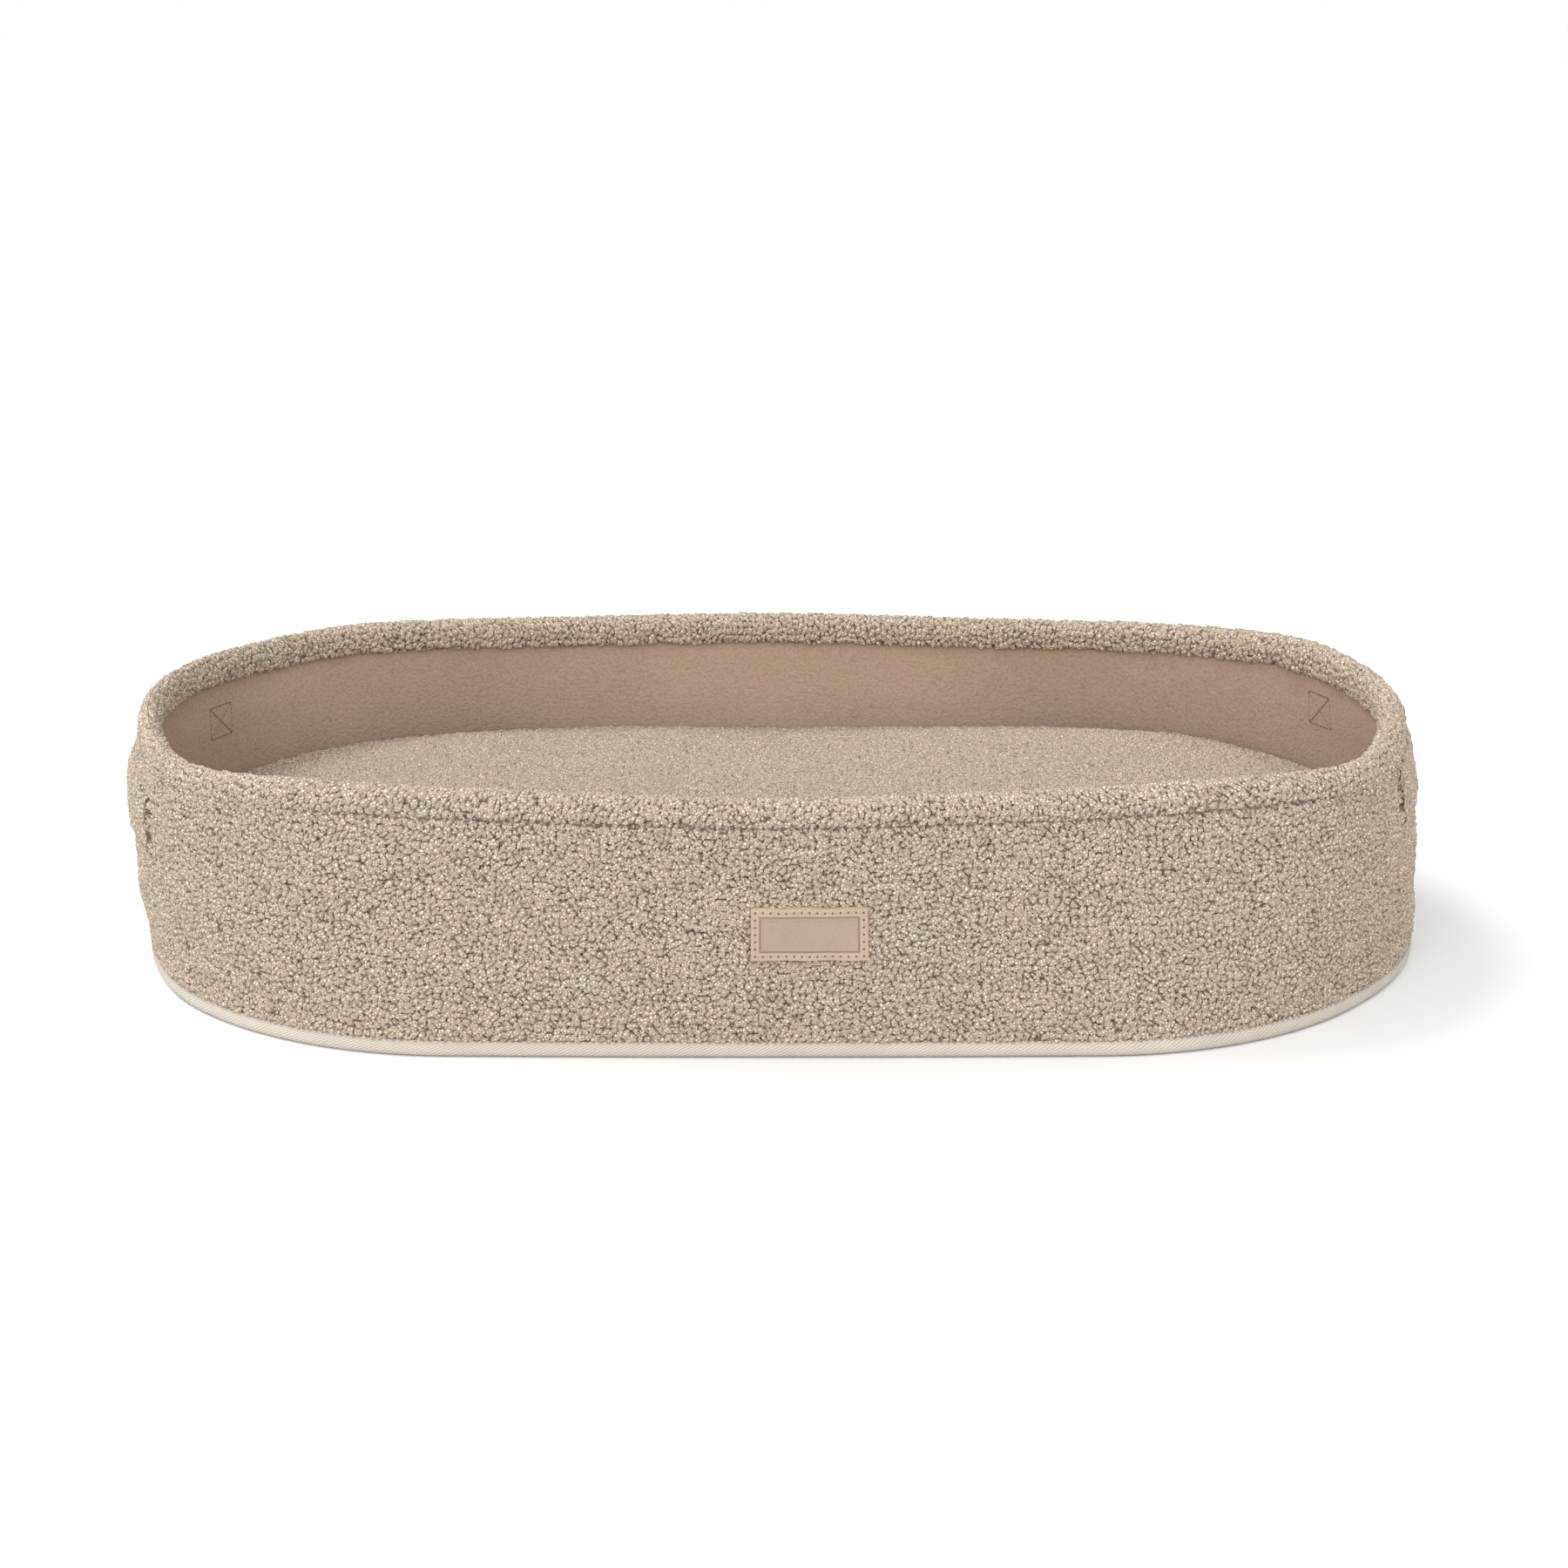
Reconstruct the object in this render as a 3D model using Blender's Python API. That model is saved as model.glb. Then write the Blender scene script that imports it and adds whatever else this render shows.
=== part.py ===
"""Baby changing pod: a soft oval basket with two carry straps and a zipped changing mat.

Lengths are in metres, +Z is up, the label side faces -Y, and the origin is on the floor under the middle.
"""
import math

import bmesh
import bpy
from mathutils import Vector

# plan of the basket: an oval of four tangent arcs at the floor and another at the rim
base_length = 0.748
base_width = 0.403
base_side_radius = 10.0
end_flare = 0.001  # how far the rim stands out past the floor at each end
side_lean = 0.008  # how far the rim leans in over the floor at the middle of each side
rim_side_radius = 1.39
rim_height = 0.141
end_rise = 0.006  # how much higher the rim stands at the two ends than at the middle
end_steps = 24
side_steps = 8

# layers of the wall, from outside to inside
fit_gap = 0.0003
cover_thickness = 0.003
stiffener_thickness = 0.008
lining_thickness = 0.0012

# folded rim
cuff_depth = 0.0153
stitch_drop = 0.0125
stitch_valley = 0.0015
valley_reach = 0.006
fold_steps = 6
level_shares = (0.35, 0.70)  # heights between foot and rim where the wall's flats are divided
thread_radius = 0.0005

# tape bound round the bottom edge
tape_height = 0.0086
tape_thickness = 0.0014
tape_bulge = 0.0006
tape_inset = 0.0004
tape_under = 0.0100
tape_thread_share = 0.85

# floor of the basket
base_cover_thickness = 0.0012
board_thickness = 0.003
base_lining_thickness = 0.0012

# label patch, a little to the right of the middle
label_length = 0.062
label_width = 0.029
label_thickness = 0.0014
label_offset = 0.0185
label_height = 0.0705
label_margin = 0.0042
label_groove = 0.0016
label_groove_depth = 0.0005
label_thread_margin = 0.0018
label_columns = 8

# carry straps round the two ends
grip_steps = 3
handle_width = 0.034
handle_drop = 0.0395
grip_thickness = 0.0052
grip_standoff = 0.0006
grip_bow = 0.0030
webbing_width = 0.025
webbing_thickness = 0.0014
webbing_edge = 0.0003
tab_length = 0.0245
tab_thickness = 0.0045
strap_edge = 0.0012
box_stitch_size = 0.019
box_stitch_bar = 0.0012
box_stitch_thickness = 0.0006

# changing mat
mat_clearance = 0.002
mat_edge_height = 0.068
mat_crown = 0.006
crown_reach = 0.085
mat_draw = 0.004
mat_draw_height = 0.012
mat_top_thickness = 0.003
band_thickness = 0.0022
underside_thickness = 0.0012
crown_shares = (0.0, 0.08, 0.24, 0.52, 1.0)

# zip in the far side of the mat's band
zip_length = 0.36
zip_window = 0.013
zip_tape_width = 0.026
zip_tape_thickness = 0.0006
tooth_pitch = 0.005
tooth_length = 0.0040
tooth_height = 0.0026
tooth_step = 0.0009
tooth_depth = 0.0016
tooth_recess = 0.0005
slider_length = 0.012
slider_plate = 0.0010
slider_flange = 0.0010
slider_edge = 0.0004
stop_length = 0.003
cut_overrun = 0.004

# heights and insets worked out from the sizes above
rim_length = base_length + 2 * end_flare
rim_width = base_width - 2 * side_lean
wall_thickness = 2 * cover_thickness + stiffener_thickness + lining_thickness + 3 * fit_gap
fold_radius = wall_thickness / 2
fold_height = rim_height - fold_radius
cuff_height = rim_height - cuff_depth
stitch_height = rim_height - stitch_drop
stiffener_inset = cover_thickness + fit_gap
lining_inset = stiffener_inset + stiffener_thickness + fit_gap
lining_face = lining_inset + lining_thickness
wall_foot = tape_thickness + fit_gap
board_height = base_cover_thickness + fit_gap
base_lining_height = board_height + board_thickness + fit_gap
mat_floor = base_lining_height + base_lining_thickness + fit_gap
handle_height = rim_height - handle_drop
right_middle = end_steps // 2
left_middle = end_steps + side_steps + end_steps // 2
opening_inset = wall_thickness + mat_clearance
floor_inset = lining_face + mat_clearance
opening_half = rim_width / 2 - opening_inset
floor_half = base_width / 2 - floor_inset
rim_is_tighter = opening_half < floor_half
mat_side_radius = rim_side_radius - opening_inset if rim_is_tighter else base_side_radius - floor_inset
mat_side_centre = mat_side_radius - min(opening_half, floor_half)
tape_face = band_thickness + fit_gap
foam_inset = tape_face + zip_tape_thickness + fit_gap
zip_height = (mat_floor + mat_edge_height) / 2
chain_height = tooth_height + 2 * tooth_step
zip_pivot = Vector((0, -mat_side_centre, zip_height))


def clear_scene():
    for item in list(bpy.data.objects):
        bpy.data.objects.remove(item, do_unlink=True)


def finish(name, colour, roughness, metallic=0.0):
    material = bpy.data.materials.new(name)
    material.use_nodes = True
    shader = material.node_tree.nodes["Principled BSDF"]
    shader.inputs["Base Color"].default_value = (*colour, 1.0)
    shader.inputs["Roughness"].default_value = roughness
    shader.inputs["Metallic"].default_value = metallic
    return material


def plan_rays():
    """Directions from the middle, anticlockwise, close together round the ends and wider along the sides."""
    radius = base_width / 2
    straight = base_length / 2 - radius
    rays = []
    for end in (1, -1):
        for step in range(end_steps + 1):
            turn = math.pi * (step / end_steps - 0.5)
            spot = (end * (straight + radius * math.cos(turn)), end * radius * math.sin(turn))
            rays.append(Vector(spot).normalized())
        for step in range(1, side_steps):
            share = 1 - 2 * step / side_steps
            rays.append(Vector((end * straight * share, end * radius)).normalized())
    return rays


def oval_point(ray, length, width, side_radius, inset):
    """Where a ray from the middle meets the oval of four arcs that lies `inset` inside the given one."""
    side_centre = side_radius - width / 2
    end_radius = (side_radius ** 2 - side_centre ** 2 - length ** 2 / 4) / (2 * side_radius - length)
    end_centre = length / 2 - end_radius
    along = abs(ray.x)
    across = abs(ray.y)
    join = end_centre * (side_radius - inset) / (side_radius - end_radius)
    root = (along * end_centre) ** 2 - end_centre ** 2 + (end_radius - inset) ** 2
    reach = along * end_centre + math.sqrt(max(root, 0))
    if reach * along < join:
        root = (across * side_centre) ** 2 - side_centre ** 2 + (side_radius - inset) ** 2
        reach = math.sqrt(max(root, 0)) - across * side_centre
    return Vector((ray.x * reach, ray.y * reach))


def between(station, spot_at):
    """A point part of the way along the straight run between two neighbouring stations."""
    low = math.floor(station)
    return spot_at(low).lerp(spot_at(low + 1), station - low)


def wall_point(station, height, inset):
    """A point `inset` inside the basket's outer face, which leans from the floor's oval to the rim's."""
    share = height / rim_height

    def spot_at(index):
        ray = rays[index % len(rays)]
        floor_spot = oval_point(ray, base_length, base_width, base_side_radius, inset)
        rim_spot = oval_point(ray, rim_length, rim_width, rim_side_radius, inset)
        spot = floor_spot.lerp(rim_spot, share)
        rise = end_rise * (2 * spot.x / rim_length) ** 2 * share ** 2
        return Vector((spot.x, spot.y, height + rise))

    return between(station, spot_at)


def mat_point(station, height, inset):
    """A point `inset` inside the mat's outline: the rim's opening, or the floor where that is tighter."""

    def spot_at(index):
        ray = rays[index % len(rays)]
        opening = oval_point(ray, rim_length, rim_width, rim_side_radius, opening_inset + inset)
        floor = oval_point(ray, base_length, base_width, base_side_radius, floor_inset + inset)
        spot = opening if opening.length < floor.length else floor
        return Vector((spot.x, spot.y, height))

    return between(station, spot_at)


def move_along(station, distance, height):
    """The station that lies a distance further on round the wall's outer face."""
    low = math.floor(station)
    run = (wall_point(low + 1, height, 0) - wall_point(low, height, 0)).length
    return station + distance / run


def station_at(spot_at, x, start, end):
    """The station between two others where a plan curve passes a given X."""
    for low in range(start, end):
        first = spot_at(low).x
        second = spot_at(low + 1).x
        if min(first, second) <= x <= max(first, second):
            return low + (x - first) / (second - first)
    return (start + end) / 2


def stations_between(start, end):
    """Both ends of a run and every station in between, so that a piece follows the wall's flats."""
    inner = [station for station in range(math.ceil(start), math.floor(end) + 1) if start < station < end]
    return [start, *inner, end]


def make_object(name, mesh, material, smooth=True):
    bmesh.ops.triangulate(mesh, faces=mesh.faces, quad_method="FIXED")
    bmesh.ops.recalc_face_normals(mesh, faces=mesh.faces)
    data = bpy.data.meshes.new(name)
    mesh.to_mesh(data)
    mesh.free()
    data.materials.append(material)
    if smooth:
        data.shade_smooth()
        data.set_sharp_from_angle(angle=math.radians(40))
    item = bpy.data.objects.new(name, data)
    bpy.context.scene.collection.objects.link(item)
    return item


def join_loops(mesh, first, second):
    """Flats between two loops. Each is later split from its first corner, always the same way up the wall,
    so that neighbouring layers keep an even gap."""
    for index in range(len(first)):
        after = (index + 1) % len(first)
        if first[index].co.z <= first[after].co.z:
            mesh.faces.new((first[index], first[after], second[after], second[index]))
        else:
            mesh.faces.new((first[after], second[after], second[index], first[index]))


def ring(name, profile, material, spot_at=wall_point):
    """A closed profile of insets and heights carried all the way round the wall, or round the mat."""
    mesh = bmesh.new()
    loops = []
    for station in range(len(rays)):
        loops.append([mesh.verts.new(spot_at(station, height, inset)) for inset, height in profile])
    for station in range(len(rays)):
        join_loops(mesh, loops[station], loops[(station + 1) % len(rays)])
    return make_object(name, mesh, material)


def stack(name, levels, spot_at, material):
    """A solid built up from oval loops, each an inset and a height, closed flat at both ends."""
    mesh = bmesh.new()
    loops = []
    for inset, height in levels:
        loops.append([mesh.verts.new(spot_at(station, height, inset)) for station in range(len(rays))])
    for first, second in zip(loops, loops[1:]):
        join_loops(mesh, first, second)
    mesh.faces.new(reversed(loops[0]))
    mesh.faces.new(loops[-1])
    return make_object(name, mesh, material)


def sweep(name, sections, material, bores=None):
    """A solid run through sections of equal count, with an optional bore through it."""
    mesh = bmesh.new()
    rows = [[mesh.verts.new(point) for point in section] for section in sections]
    for first, second in zip(rows, rows[1:]):
        join_loops(mesh, first, second)
    if bores:
        inner = [[mesh.verts.new(point) for point in section] for section in bores]
        for first, second in zip(inner, inner[1:]):
            join_loops(mesh, second, first)
        join_loops(mesh, inner[0], rows[0])
        join_loops(mesh, rows[-1], inner[-1])
    else:
        mesh.faces.new(reversed(rows[0]))
        mesh.faces.new(rows[-1])
    return make_object(name, mesh, material)


def fold_line(depth):
    """The line that lies `depth` inside the cover: in at the stitch, over the rim and down the cuff."""
    line = [
        (depth, stitch_height - valley_reach),
        (depth + stitch_valley, stitch_height),
    ]
    for step in range(fold_steps + 1):
        turn = math.pi * step / fold_steps
        inset = fold_radius - (fold_radius - depth) * math.cos(turn)
        line.append((inset, fold_height + (fold_radius - depth) * math.sin(turn)))
    line.append((wall_thickness - depth, cuff_height))
    return line


def levels(inset):
    """Points up the wall between its foot and its rim."""
    return [(inset, share * rim_height) for share in level_shares]


def cover_profile():
    """The cover's section. Its lower edge is pressed thin where the tape holds it."""
    tuck = tape_inset + tape_thickness + fit_gap
    shoulder = tape_height + cover_thickness
    outside = [(tuck, wall_foot), (tuck, tape_height), (0, shoulder)] + levels(0) + fold_line(0)
    inside = [(cover_thickness, wall_foot)] + levels(cover_thickness) + fold_line(cover_thickness)
    return outside + inside[::-1]


def stiffener_profile():
    """The foam's section: drawn in at the stitch like the cover, with a round top under the fold."""
    half = stiffener_thickness / 2
    outer = stiffener_inset
    profile = [(outer, wall_foot)] + levels(outer)
    profile += [(outer, stitch_height - valley_reach), (outer + stitch_valley, stitch_height)]
    for step in range(fold_steps + 1):
        turn = math.pi * step / fold_steps
        profile.append((outer + half - half * math.cos(turn), fold_height + half * math.sin(turn)))
    inner = outer + stiffener_thickness
    return profile + levels(inner)[::-1] + [(inner, wall_foot)]


def tape_profile():
    """The tape's section: a rounded face outside, turned under the basket."""
    inner = tape_inset + tape_thickness
    return [
        (tape_inset, tape_height),
        (-tape_bulge, tape_height / 2),
        (-tape_bulge / 2, tape_thickness),
        (tape_thickness, 0),
        (tape_under, 0),
        (tape_under, base_cover_thickness),
        (inner + fit_gap, base_cover_thickness),
        (inner - tape_bulge / 2, 2 * tape_thickness),
        (inner - tape_bulge, tape_height / 2),
        (inner, tape_height),
    ]


def thread_profile(inset, height):
    """Four sides of a thread that lies with its inner edge at an inset."""
    centre = inset - thread_radius
    return [
        (centre, height + thread_radius),
        (centre - thread_radius, height),
        (centre, height - thread_radius),
        (centre + thread_radius, height),
    ]


def strap_section(station, height, face, width, thickness, edge):
    """An eight-sided section across a strap whose back lies at an inset from the wall's face."""
    half = width / 2
    front = face - thickness
    outline = (
        (face, -half + edge), (face, half - edge),
        (face - edge, half), (front + edge, half),
        (front, half - edge), (front, -half + edge),
        (front + edge, -half), (face - edge, -half),
    )
    return [wall_point(station, height + rise, inset) for inset, rise in outline]


def make_basket():
    ring("outer_cover", cover_profile(), boucle)
    ring("wall_stiffener", stiffener_profile(), foam)
    lining = []
    for inset in (lining_inset, lining_face):
        line = [(inset, wall_foot)] + levels(inset) + [(inset, fold_height)]
        lining += line if inset == lining_inset else line[::-1]
    ring("wall_lining", lining, faux_leather)
    ring("bottom_binding", tape_profile(), cream_tape)
    cover_inset = tape_under + fit_gap
    stack("base_cover", [(cover_inset, 0), (cover_inset, base_cover_thickness)], wall_point, canvas)
    panel_inset = lining_face + fit_gap
    board = [(panel_inset, board_height), (panel_inset, board_height + board_thickness)]
    stack("base_board", board, wall_point, board_grey)
    lining_panel = [
        (panel_inset, base_lining_height),
        (panel_inset, base_lining_height + base_lining_thickness),
    ]
    stack("base_lining", lining_panel, wall_point, faux_leather)
    ring("rim_stitching", thread_profile(stitch_valley - fit_gap, stitch_height), brown_thread)
    tape_drop = 2 * (tape_thread_share - 0.5)
    tape_line = tape_drop * tape_inset - (1 - tape_drop) * tape_bulge
    tape_thread = thread_profile(tape_line - fit_gap, tape_thread_share * tape_height)
    ring("binding_stitching", tape_thread, cream_thread)


def label_point(along, rise, inset):
    """A point on the label: a distance from its left edge, a rise from its lower edge and an inset."""

    def front_spot(index):
        return wall_point(index, label_height, 0)

    x = label_offset - label_length / 2 + along
    station = station_at(front_spot, x, left_middle, right_middle + len(rays))
    return wall_point(station, label_height - label_width / 2 + rise, inset)


def label_stops(size, columns):
    """Places across the patch: its edge, the groove's lip, bed and lip, and the field between them."""
    lip = label_margin
    bed = label_margin + label_groove / 2
    inner = label_margin + label_groove
    stops = [0, lip, bed, inner]
    field = size - 2 * inner
    stops += [inner + field * step / columns for step in range(1, columns)]
    return stops + [size - inner, size - bed, size - lip, size]


def make_label():
    """A plain patch with one closed frame pressed into it, and the thread sewn round its edge."""
    columns = label_stops(label_length, label_columns)
    rows = label_stops(label_width, 1)
    last_column = len(columns) - 1
    last_row = len(rows) - 1
    bed = 2  # the bed of the groove is the third stop in from any edge

    def pressed(column, row):
        return min(column, last_column - column, row, last_row - row) == bed

    mesh = bmesh.new()
    sheets = []
    for side in (0, 1):
        sheet = []
        for column, along in enumerate(columns):
            line = []
            for row, rise in enumerate(rows):
                depth = label_groove_depth if side and pressed(column, row) else 0
                inset = -fit_gap - side * label_thickness + depth
                line.append(mesh.verts.new(label_point(along, rise, inset)))
            sheet.append(line)
        sheets.append(sheet)
    for side, sheet in enumerate(sheets):
        for column in range(last_column):
            for row in range(last_row):
                mesh.faces.new((
                    sheet[column][row], sheet[column + 1][row],
                    sheet[column + 1][row + 1], sheet[column][row + 1],
                ))
    edge = [(column, 0) for column in range(last_column)]
    edge += [(last_column, row) for row in range(last_row)]
    edge += [(column, last_row) for column in range(last_column, 0, -1)]
    edge += [(0, row) for row in range(last_row, 0, -1)]
    lower = [sheets[0][column][row] for column, row in edge]
    upper = [sheets[1][column][row] for column, row in edge]
    join_loops(mesh, lower, upper)
    make_object("label_patch", mesh, patch_leather, smooth=False)


def make_label_thread():
    """The thread sewn round the patch, just inside its edge."""
    margin = label_thread_margin
    length = label_length - 2 * margin
    width = label_width - 2 * margin
    bottom = [(margin + length * step / label_columns, margin) for step in range(label_columns)]
    top = [(margin + length - along + margin, margin + width) for along, _ in bottom]
    corners = bottom + [(margin + length, margin)] + top + [(margin, margin + width)]
    face = -fit_gap - label_thickness - fit_gap
    mesh = bmesh.new()
    loops = []
    for along, rise in corners:
        inward = 1 if along < label_length / 2 else -1
        upward = 1 if rise < label_width / 2 else -1
        at_end = abs(along - margin) < thread_radius or abs(along - margin - length) < thread_radius
        slide = inward * thread_radius if at_end else 0
        lift = upward * thread_radius
        loops.append([
            mesh.verts.new(label_point(along, rise, face)),
            mesh.verts.new(label_point(along - slide, rise - lift, face - thread_radius)),
            mesh.verts.new(label_point(along, rise, face - 2 * thread_radius)),
            mesh.verts.new(label_point(along + slide, rise + lift, face - thread_radius)),
        ])
    for index in range(len(loops)):
        join_loops(mesh, loops[index], loops[(index + 1) % len(loops)])
    make_object("label_stitching", mesh, brown_thread)


def make_box_stitch(name, station, face):
    """A square of thread with its two diagonals, laid on the wall's flat with its middle at a station."""
    mesh = bmesh.new()
    half = box_stitch_size / 2
    bar = box_stitch_bar
    corner = half - bar - bar / math.sqrt(2)
    apex = bar / math.sqrt(2)
    sheets = []
    for level in (face, face - box_stitch_thickness):
        middle = mesh.verts.new(wall_point(station, handle_height, level))
        square = []
        holes = []
        for quarter in range(4):
            turn = math.pi / 2 * quarter
            spots = ((-half, -half), (-corner, -half + bar), (corner, -half + bar), (0, -apex))
            placed = []
            for across, rise in spots:
                along = across * math.cos(turn) - rise * math.sin(turn)
                up = across * math.sin(turn) + rise * math.cos(turn)
                place = move_along(station, along, handle_height)
                placed.append(mesh.verts.new(wall_point(place, handle_height + up, level)))
            square.append(placed[0])
            holes.append(placed[1:])
        sheets.append((middle, square, holes))
    for middle, square, holes in sheets:
        for quarter in range(4):
            first = square[quarter]
            second = square[(quarter + 1) % 4]
            left, right, tip = holes[quarter]
            mesh.faces.new((first, second, right, left))
            mesh.faces.new((second, middle, tip, right))
            mesh.faces.new((middle, first, left, tip))
    join_loops(mesh, sheets[0][1], sheets[1][1])
    for lower, upper in zip(sheets[0][2], sheets[1][2]):
        join_loops(mesh, lower, upper)
    make_object(name, mesh, brown_thread, smooth=False)


def make_handle(side, middle):
    """A carry strap round one end: a hollow grip over its webbing, and the two sewn-down ends."""
    name = "handle_" + side

    def standoff(station):
        share = (station - middle) / grip_steps
        return grip_standoff + grip_bow * math.cos(share * math.pi / 2) ** 2

    outside = []
    slot = []
    core = []
    slot_width = webbing_width + 2 * fit_gap
    slot_thickness = webbing_thickness + 2 * fit_gap
    sleeve = (grip_thickness - slot_thickness) / 2
    for station in range(middle - grip_steps, middle + grip_steps + 1):
        face = -standoff(station)
        inner = face - sleeve
        outside.append(strap_section(station, handle_height, face, handle_width, grip_thickness, strap_edge))
        slot.append(strap_section(station, handle_height, inner, slot_width, slot_thickness, webbing_edge))
        core.append(strap_section(
            station, handle_height, inner - fit_gap, webbing_width, webbing_thickness, webbing_edge))
    sweep(name + "_grip", outside, boucle, slot)
    sweep(name + "_webbing", core, webbing)

    for way in (-1, 1):
        station = middle + way * grip_steps
        end = "front" if wall_point(station, handle_height, 0).y < 0 else "back"
        facet = station if way > 0 else station - 1
        run = (wall_point(facet + 1, handle_height, 0) - wall_point(facet, handle_height, 0)).length
        near = station + way * fit_gap / run
        far = station + way * (fit_gap + tab_length) / run
        sections = []
        for stop in stations_between(min(near, far), max(near, far)):
            sections.append(strap_section(
                stop, handle_height, -fit_gap, handle_width, tab_thickness, strap_edge))
        part_name = name + "_" + end
        sweep(part_name + "_tab", sections, boucle)
        thread_face = lining_face + fit_gap + box_stitch_thickness
        make_box_stitch(part_name + "_stitching", (near + far) / 2, thread_face)


def crown(inset):
    """How far the mat's top has risen at an inset: steep at the edge, level at the crown's reach."""
    share = min((inset - mat_draw) / (crown_reach - mat_draw), 1)
    return mat_crown * (1 - (1 - share) ** 2)


def make_mat():
    """A foam core in a cover: an underside, a side band drawn in at both seams and a crowned top."""
    seam_low = mat_floor + underside_thickness + fit_gap
    seam_high = mat_edge_height - fit_gap
    belly_low = mat_floor + mat_draw_height
    belly_high = mat_edge_height - mat_draw_height
    underside = [(mat_draw, mat_floor), (mat_draw, mat_floor + underside_thickness)]
    stack("mat_underside", underside, mat_point, canvas)
    insets = [mat_draw + share * (crown_reach - mat_draw) for share in crown_shares]
    underneath = [(inset, mat_edge_height + crown(inset)) for inset in insets]
    above = [(inset, height + mat_top_thickness) for inset, height in underneath]
    stack("mat_top", underneath[::-1] + above, mat_point, mat_boucle)
    core_edge = mat_draw + foam_inset
    core = [
        (core_edge, seam_low), (foam_inset, belly_low),
        (foam_inset, belly_high), (core_edge, seam_high + crown(core_edge)),
    ]
    core += [(inset, height - fit_gap) for inset, height in underneath if inset > core_edge]
    stack("mat_foam", core, mat_point, foam)
    profile = [
        (mat_draw, seam_low), (0, belly_low), (0, belly_high), (mat_draw, seam_high),
        (mat_draw + band_thickness, seam_high), (band_thickness, belly_high),
        (band_thickness, belly_low), (mat_draw + band_thickness, seam_low),
    ]
    return ring("mat_side_band", profile, faux_leather, mat_point)


def mat_run(half_length):
    """The stations of the mat's far side that span a half length each way from its middle."""

    def back_spot(index):
        return mat_point(index, zip_height, 0)

    start = station_at(back_spot, half_length, right_middle, left_middle)
    end = station_at(back_spot, -half_length, right_middle, left_middle)
    return stations_between(start, end)


def mat_strip(name, half_length, width, near, far, material):
    """A flat strip along the mat's far side, between two insets from its face."""
    half = width / 2
    outline = ((near, -half), (near, half), (far, half), (far, -half))
    sections = []
    for station in mat_run(half_length):
        sections.append([mat_point(station, zip_height + rise, inset) for inset, rise in outline])
    return sweep(name, sections, material)


def arc_point(along, rise, depth):
    """A point on the true arc of the mat's far side, measured from the arc's centre at the zip's height."""
    radius = mat_side_radius - depth
    turn = along / mat_side_radius
    return Vector((radius * math.sin(turn), radius * math.cos(turn), rise))


def chain_section(along, rise, height):
    """A section through the zip's chain, or through an end stop."""
    low = rise - height / 2
    high = rise + height / 2
    deep = tooth_recess + tooth_depth
    outline = ((low, tooth_recess), (high, tooth_recess), (high, deep), (low, deep))
    return [zip_pivot + arc_point(along, up, depth) for up, depth in outline]


def make_zip(band):
    """The zip: a tape behind a window in the band, a chain of teeth in step, end stops and a slider."""
    stop_middle = zip_length / 2 + fit_gap + stop_length / 2
    window_half = zip_length / 2 + 2 * stop_length
    cutter = mat_strip("zip_window", window_half, zip_window, -cut_overrun, tape_face + cut_overrun, canvas)
    cutter.hide_render = True
    cutter.display_type = "WIRE"
    cut = band.modifiers.new("zip_window", "BOOLEAN")
    cut.object = cutter
    cut.solver = "EXACT"
    tape_back = tape_face + zip_tape_thickness
    mat_strip("zip_tape", window_half + stop_length, zip_tape_width, tape_face, tape_back, cream_tape)

    sections = []
    count = int(zip_length / tooth_pitch)
    for index in range(count):
        along = (index - (count - 1) / 2) * tooth_pitch
        rise = tooth_step if index % 2 else -tooth_step
        for end in (along - tooth_length / 2, along + tooth_length / 2):
            sections.append(chain_section(end, rise, tooth_height))
    sweep("zip_teeth", sections, zip_metal)
    for name, way in (("zip_top_stop", 1), ("zip_bottom_stop", -1)):
        ends = (stop_middle - stop_length / 2, stop_middle + stop_length / 2)
        sweep(name, [chain_section(way * end, 0, chain_height) for end in ends], zip_metal)

    back = tooth_recess - 2 * fit_gap
    front = back - slider_plate
    skirt = tape_face - 2 * fit_gap
    inner = chain_height / 2 + fit_gap
    outer = inner + slider_flange
    section = (
        (-outer, front), (outer, front), (outer, skirt), (inner, skirt),
        (inner, back), (-inner, back), (-inner, skirt), (-outer, skirt),
    )
    sections = []
    for share in (0.5, 0, -0.5):
        along = zip_length / 2 - fit_gap - slider_length / 2 + share * slider_length
        sections.append([arc_point(along, rise, depth) for rise, depth in section])
    slider = sweep("zip_slider", sections, zip_metal)
    edges = slider.modifiers.new("soft_edges", "BEVEL")
    edges.width = slider_edge
    edges.segments = 1
    edges.limit_method = "ANGLE"
    pivot = bpy.data.objects.new("zip_pivot", None)
    pivot.location = zip_pivot
    bpy.context.scene.collection.objects.link(pivot)
    slider.parent = pivot


clear_scene()
rays = plan_rays()
boucle = finish("beige_boucle", (0.52, 0.42, 0.31), 0.95)
mat_boucle = finish("mat_boucle", (0.50, 0.40, 0.30), 0.95)
faux_leather = finish("taupe_faux_leather", (0.36, 0.25, 0.18), 0.6)
patch_leather = finish("tan_patch", (0.52, 0.36, 0.26), 0.6)
cream_tape = finish("cream_twill", (0.70, 0.64, 0.52), 0.85)
cream_thread = finish("cream_thread", (0.66, 0.58, 0.44), 0.8)
brown_thread = finish("brown_thread", (0.25, 0.17, 0.11), 0.8)
webbing = finish("woven_tape", (0.60, 0.53, 0.43), 0.85)
foam = finish("foam", (0.80, 0.78, 0.72), 0.9)
canvas = finish("natural_canvas", (0.60, 0.53, 0.42), 0.9)
board_grey = finish("grey_board", (0.45, 0.43, 0.40), 0.8)
zip_metal = finish("zip_metal", (0.55, 0.50, 0.42), 0.4, 1.0)
make_basket()
make_label()
make_label_thread()
make_handle("right", right_middle)
make_handle("left", left_middle)
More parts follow.
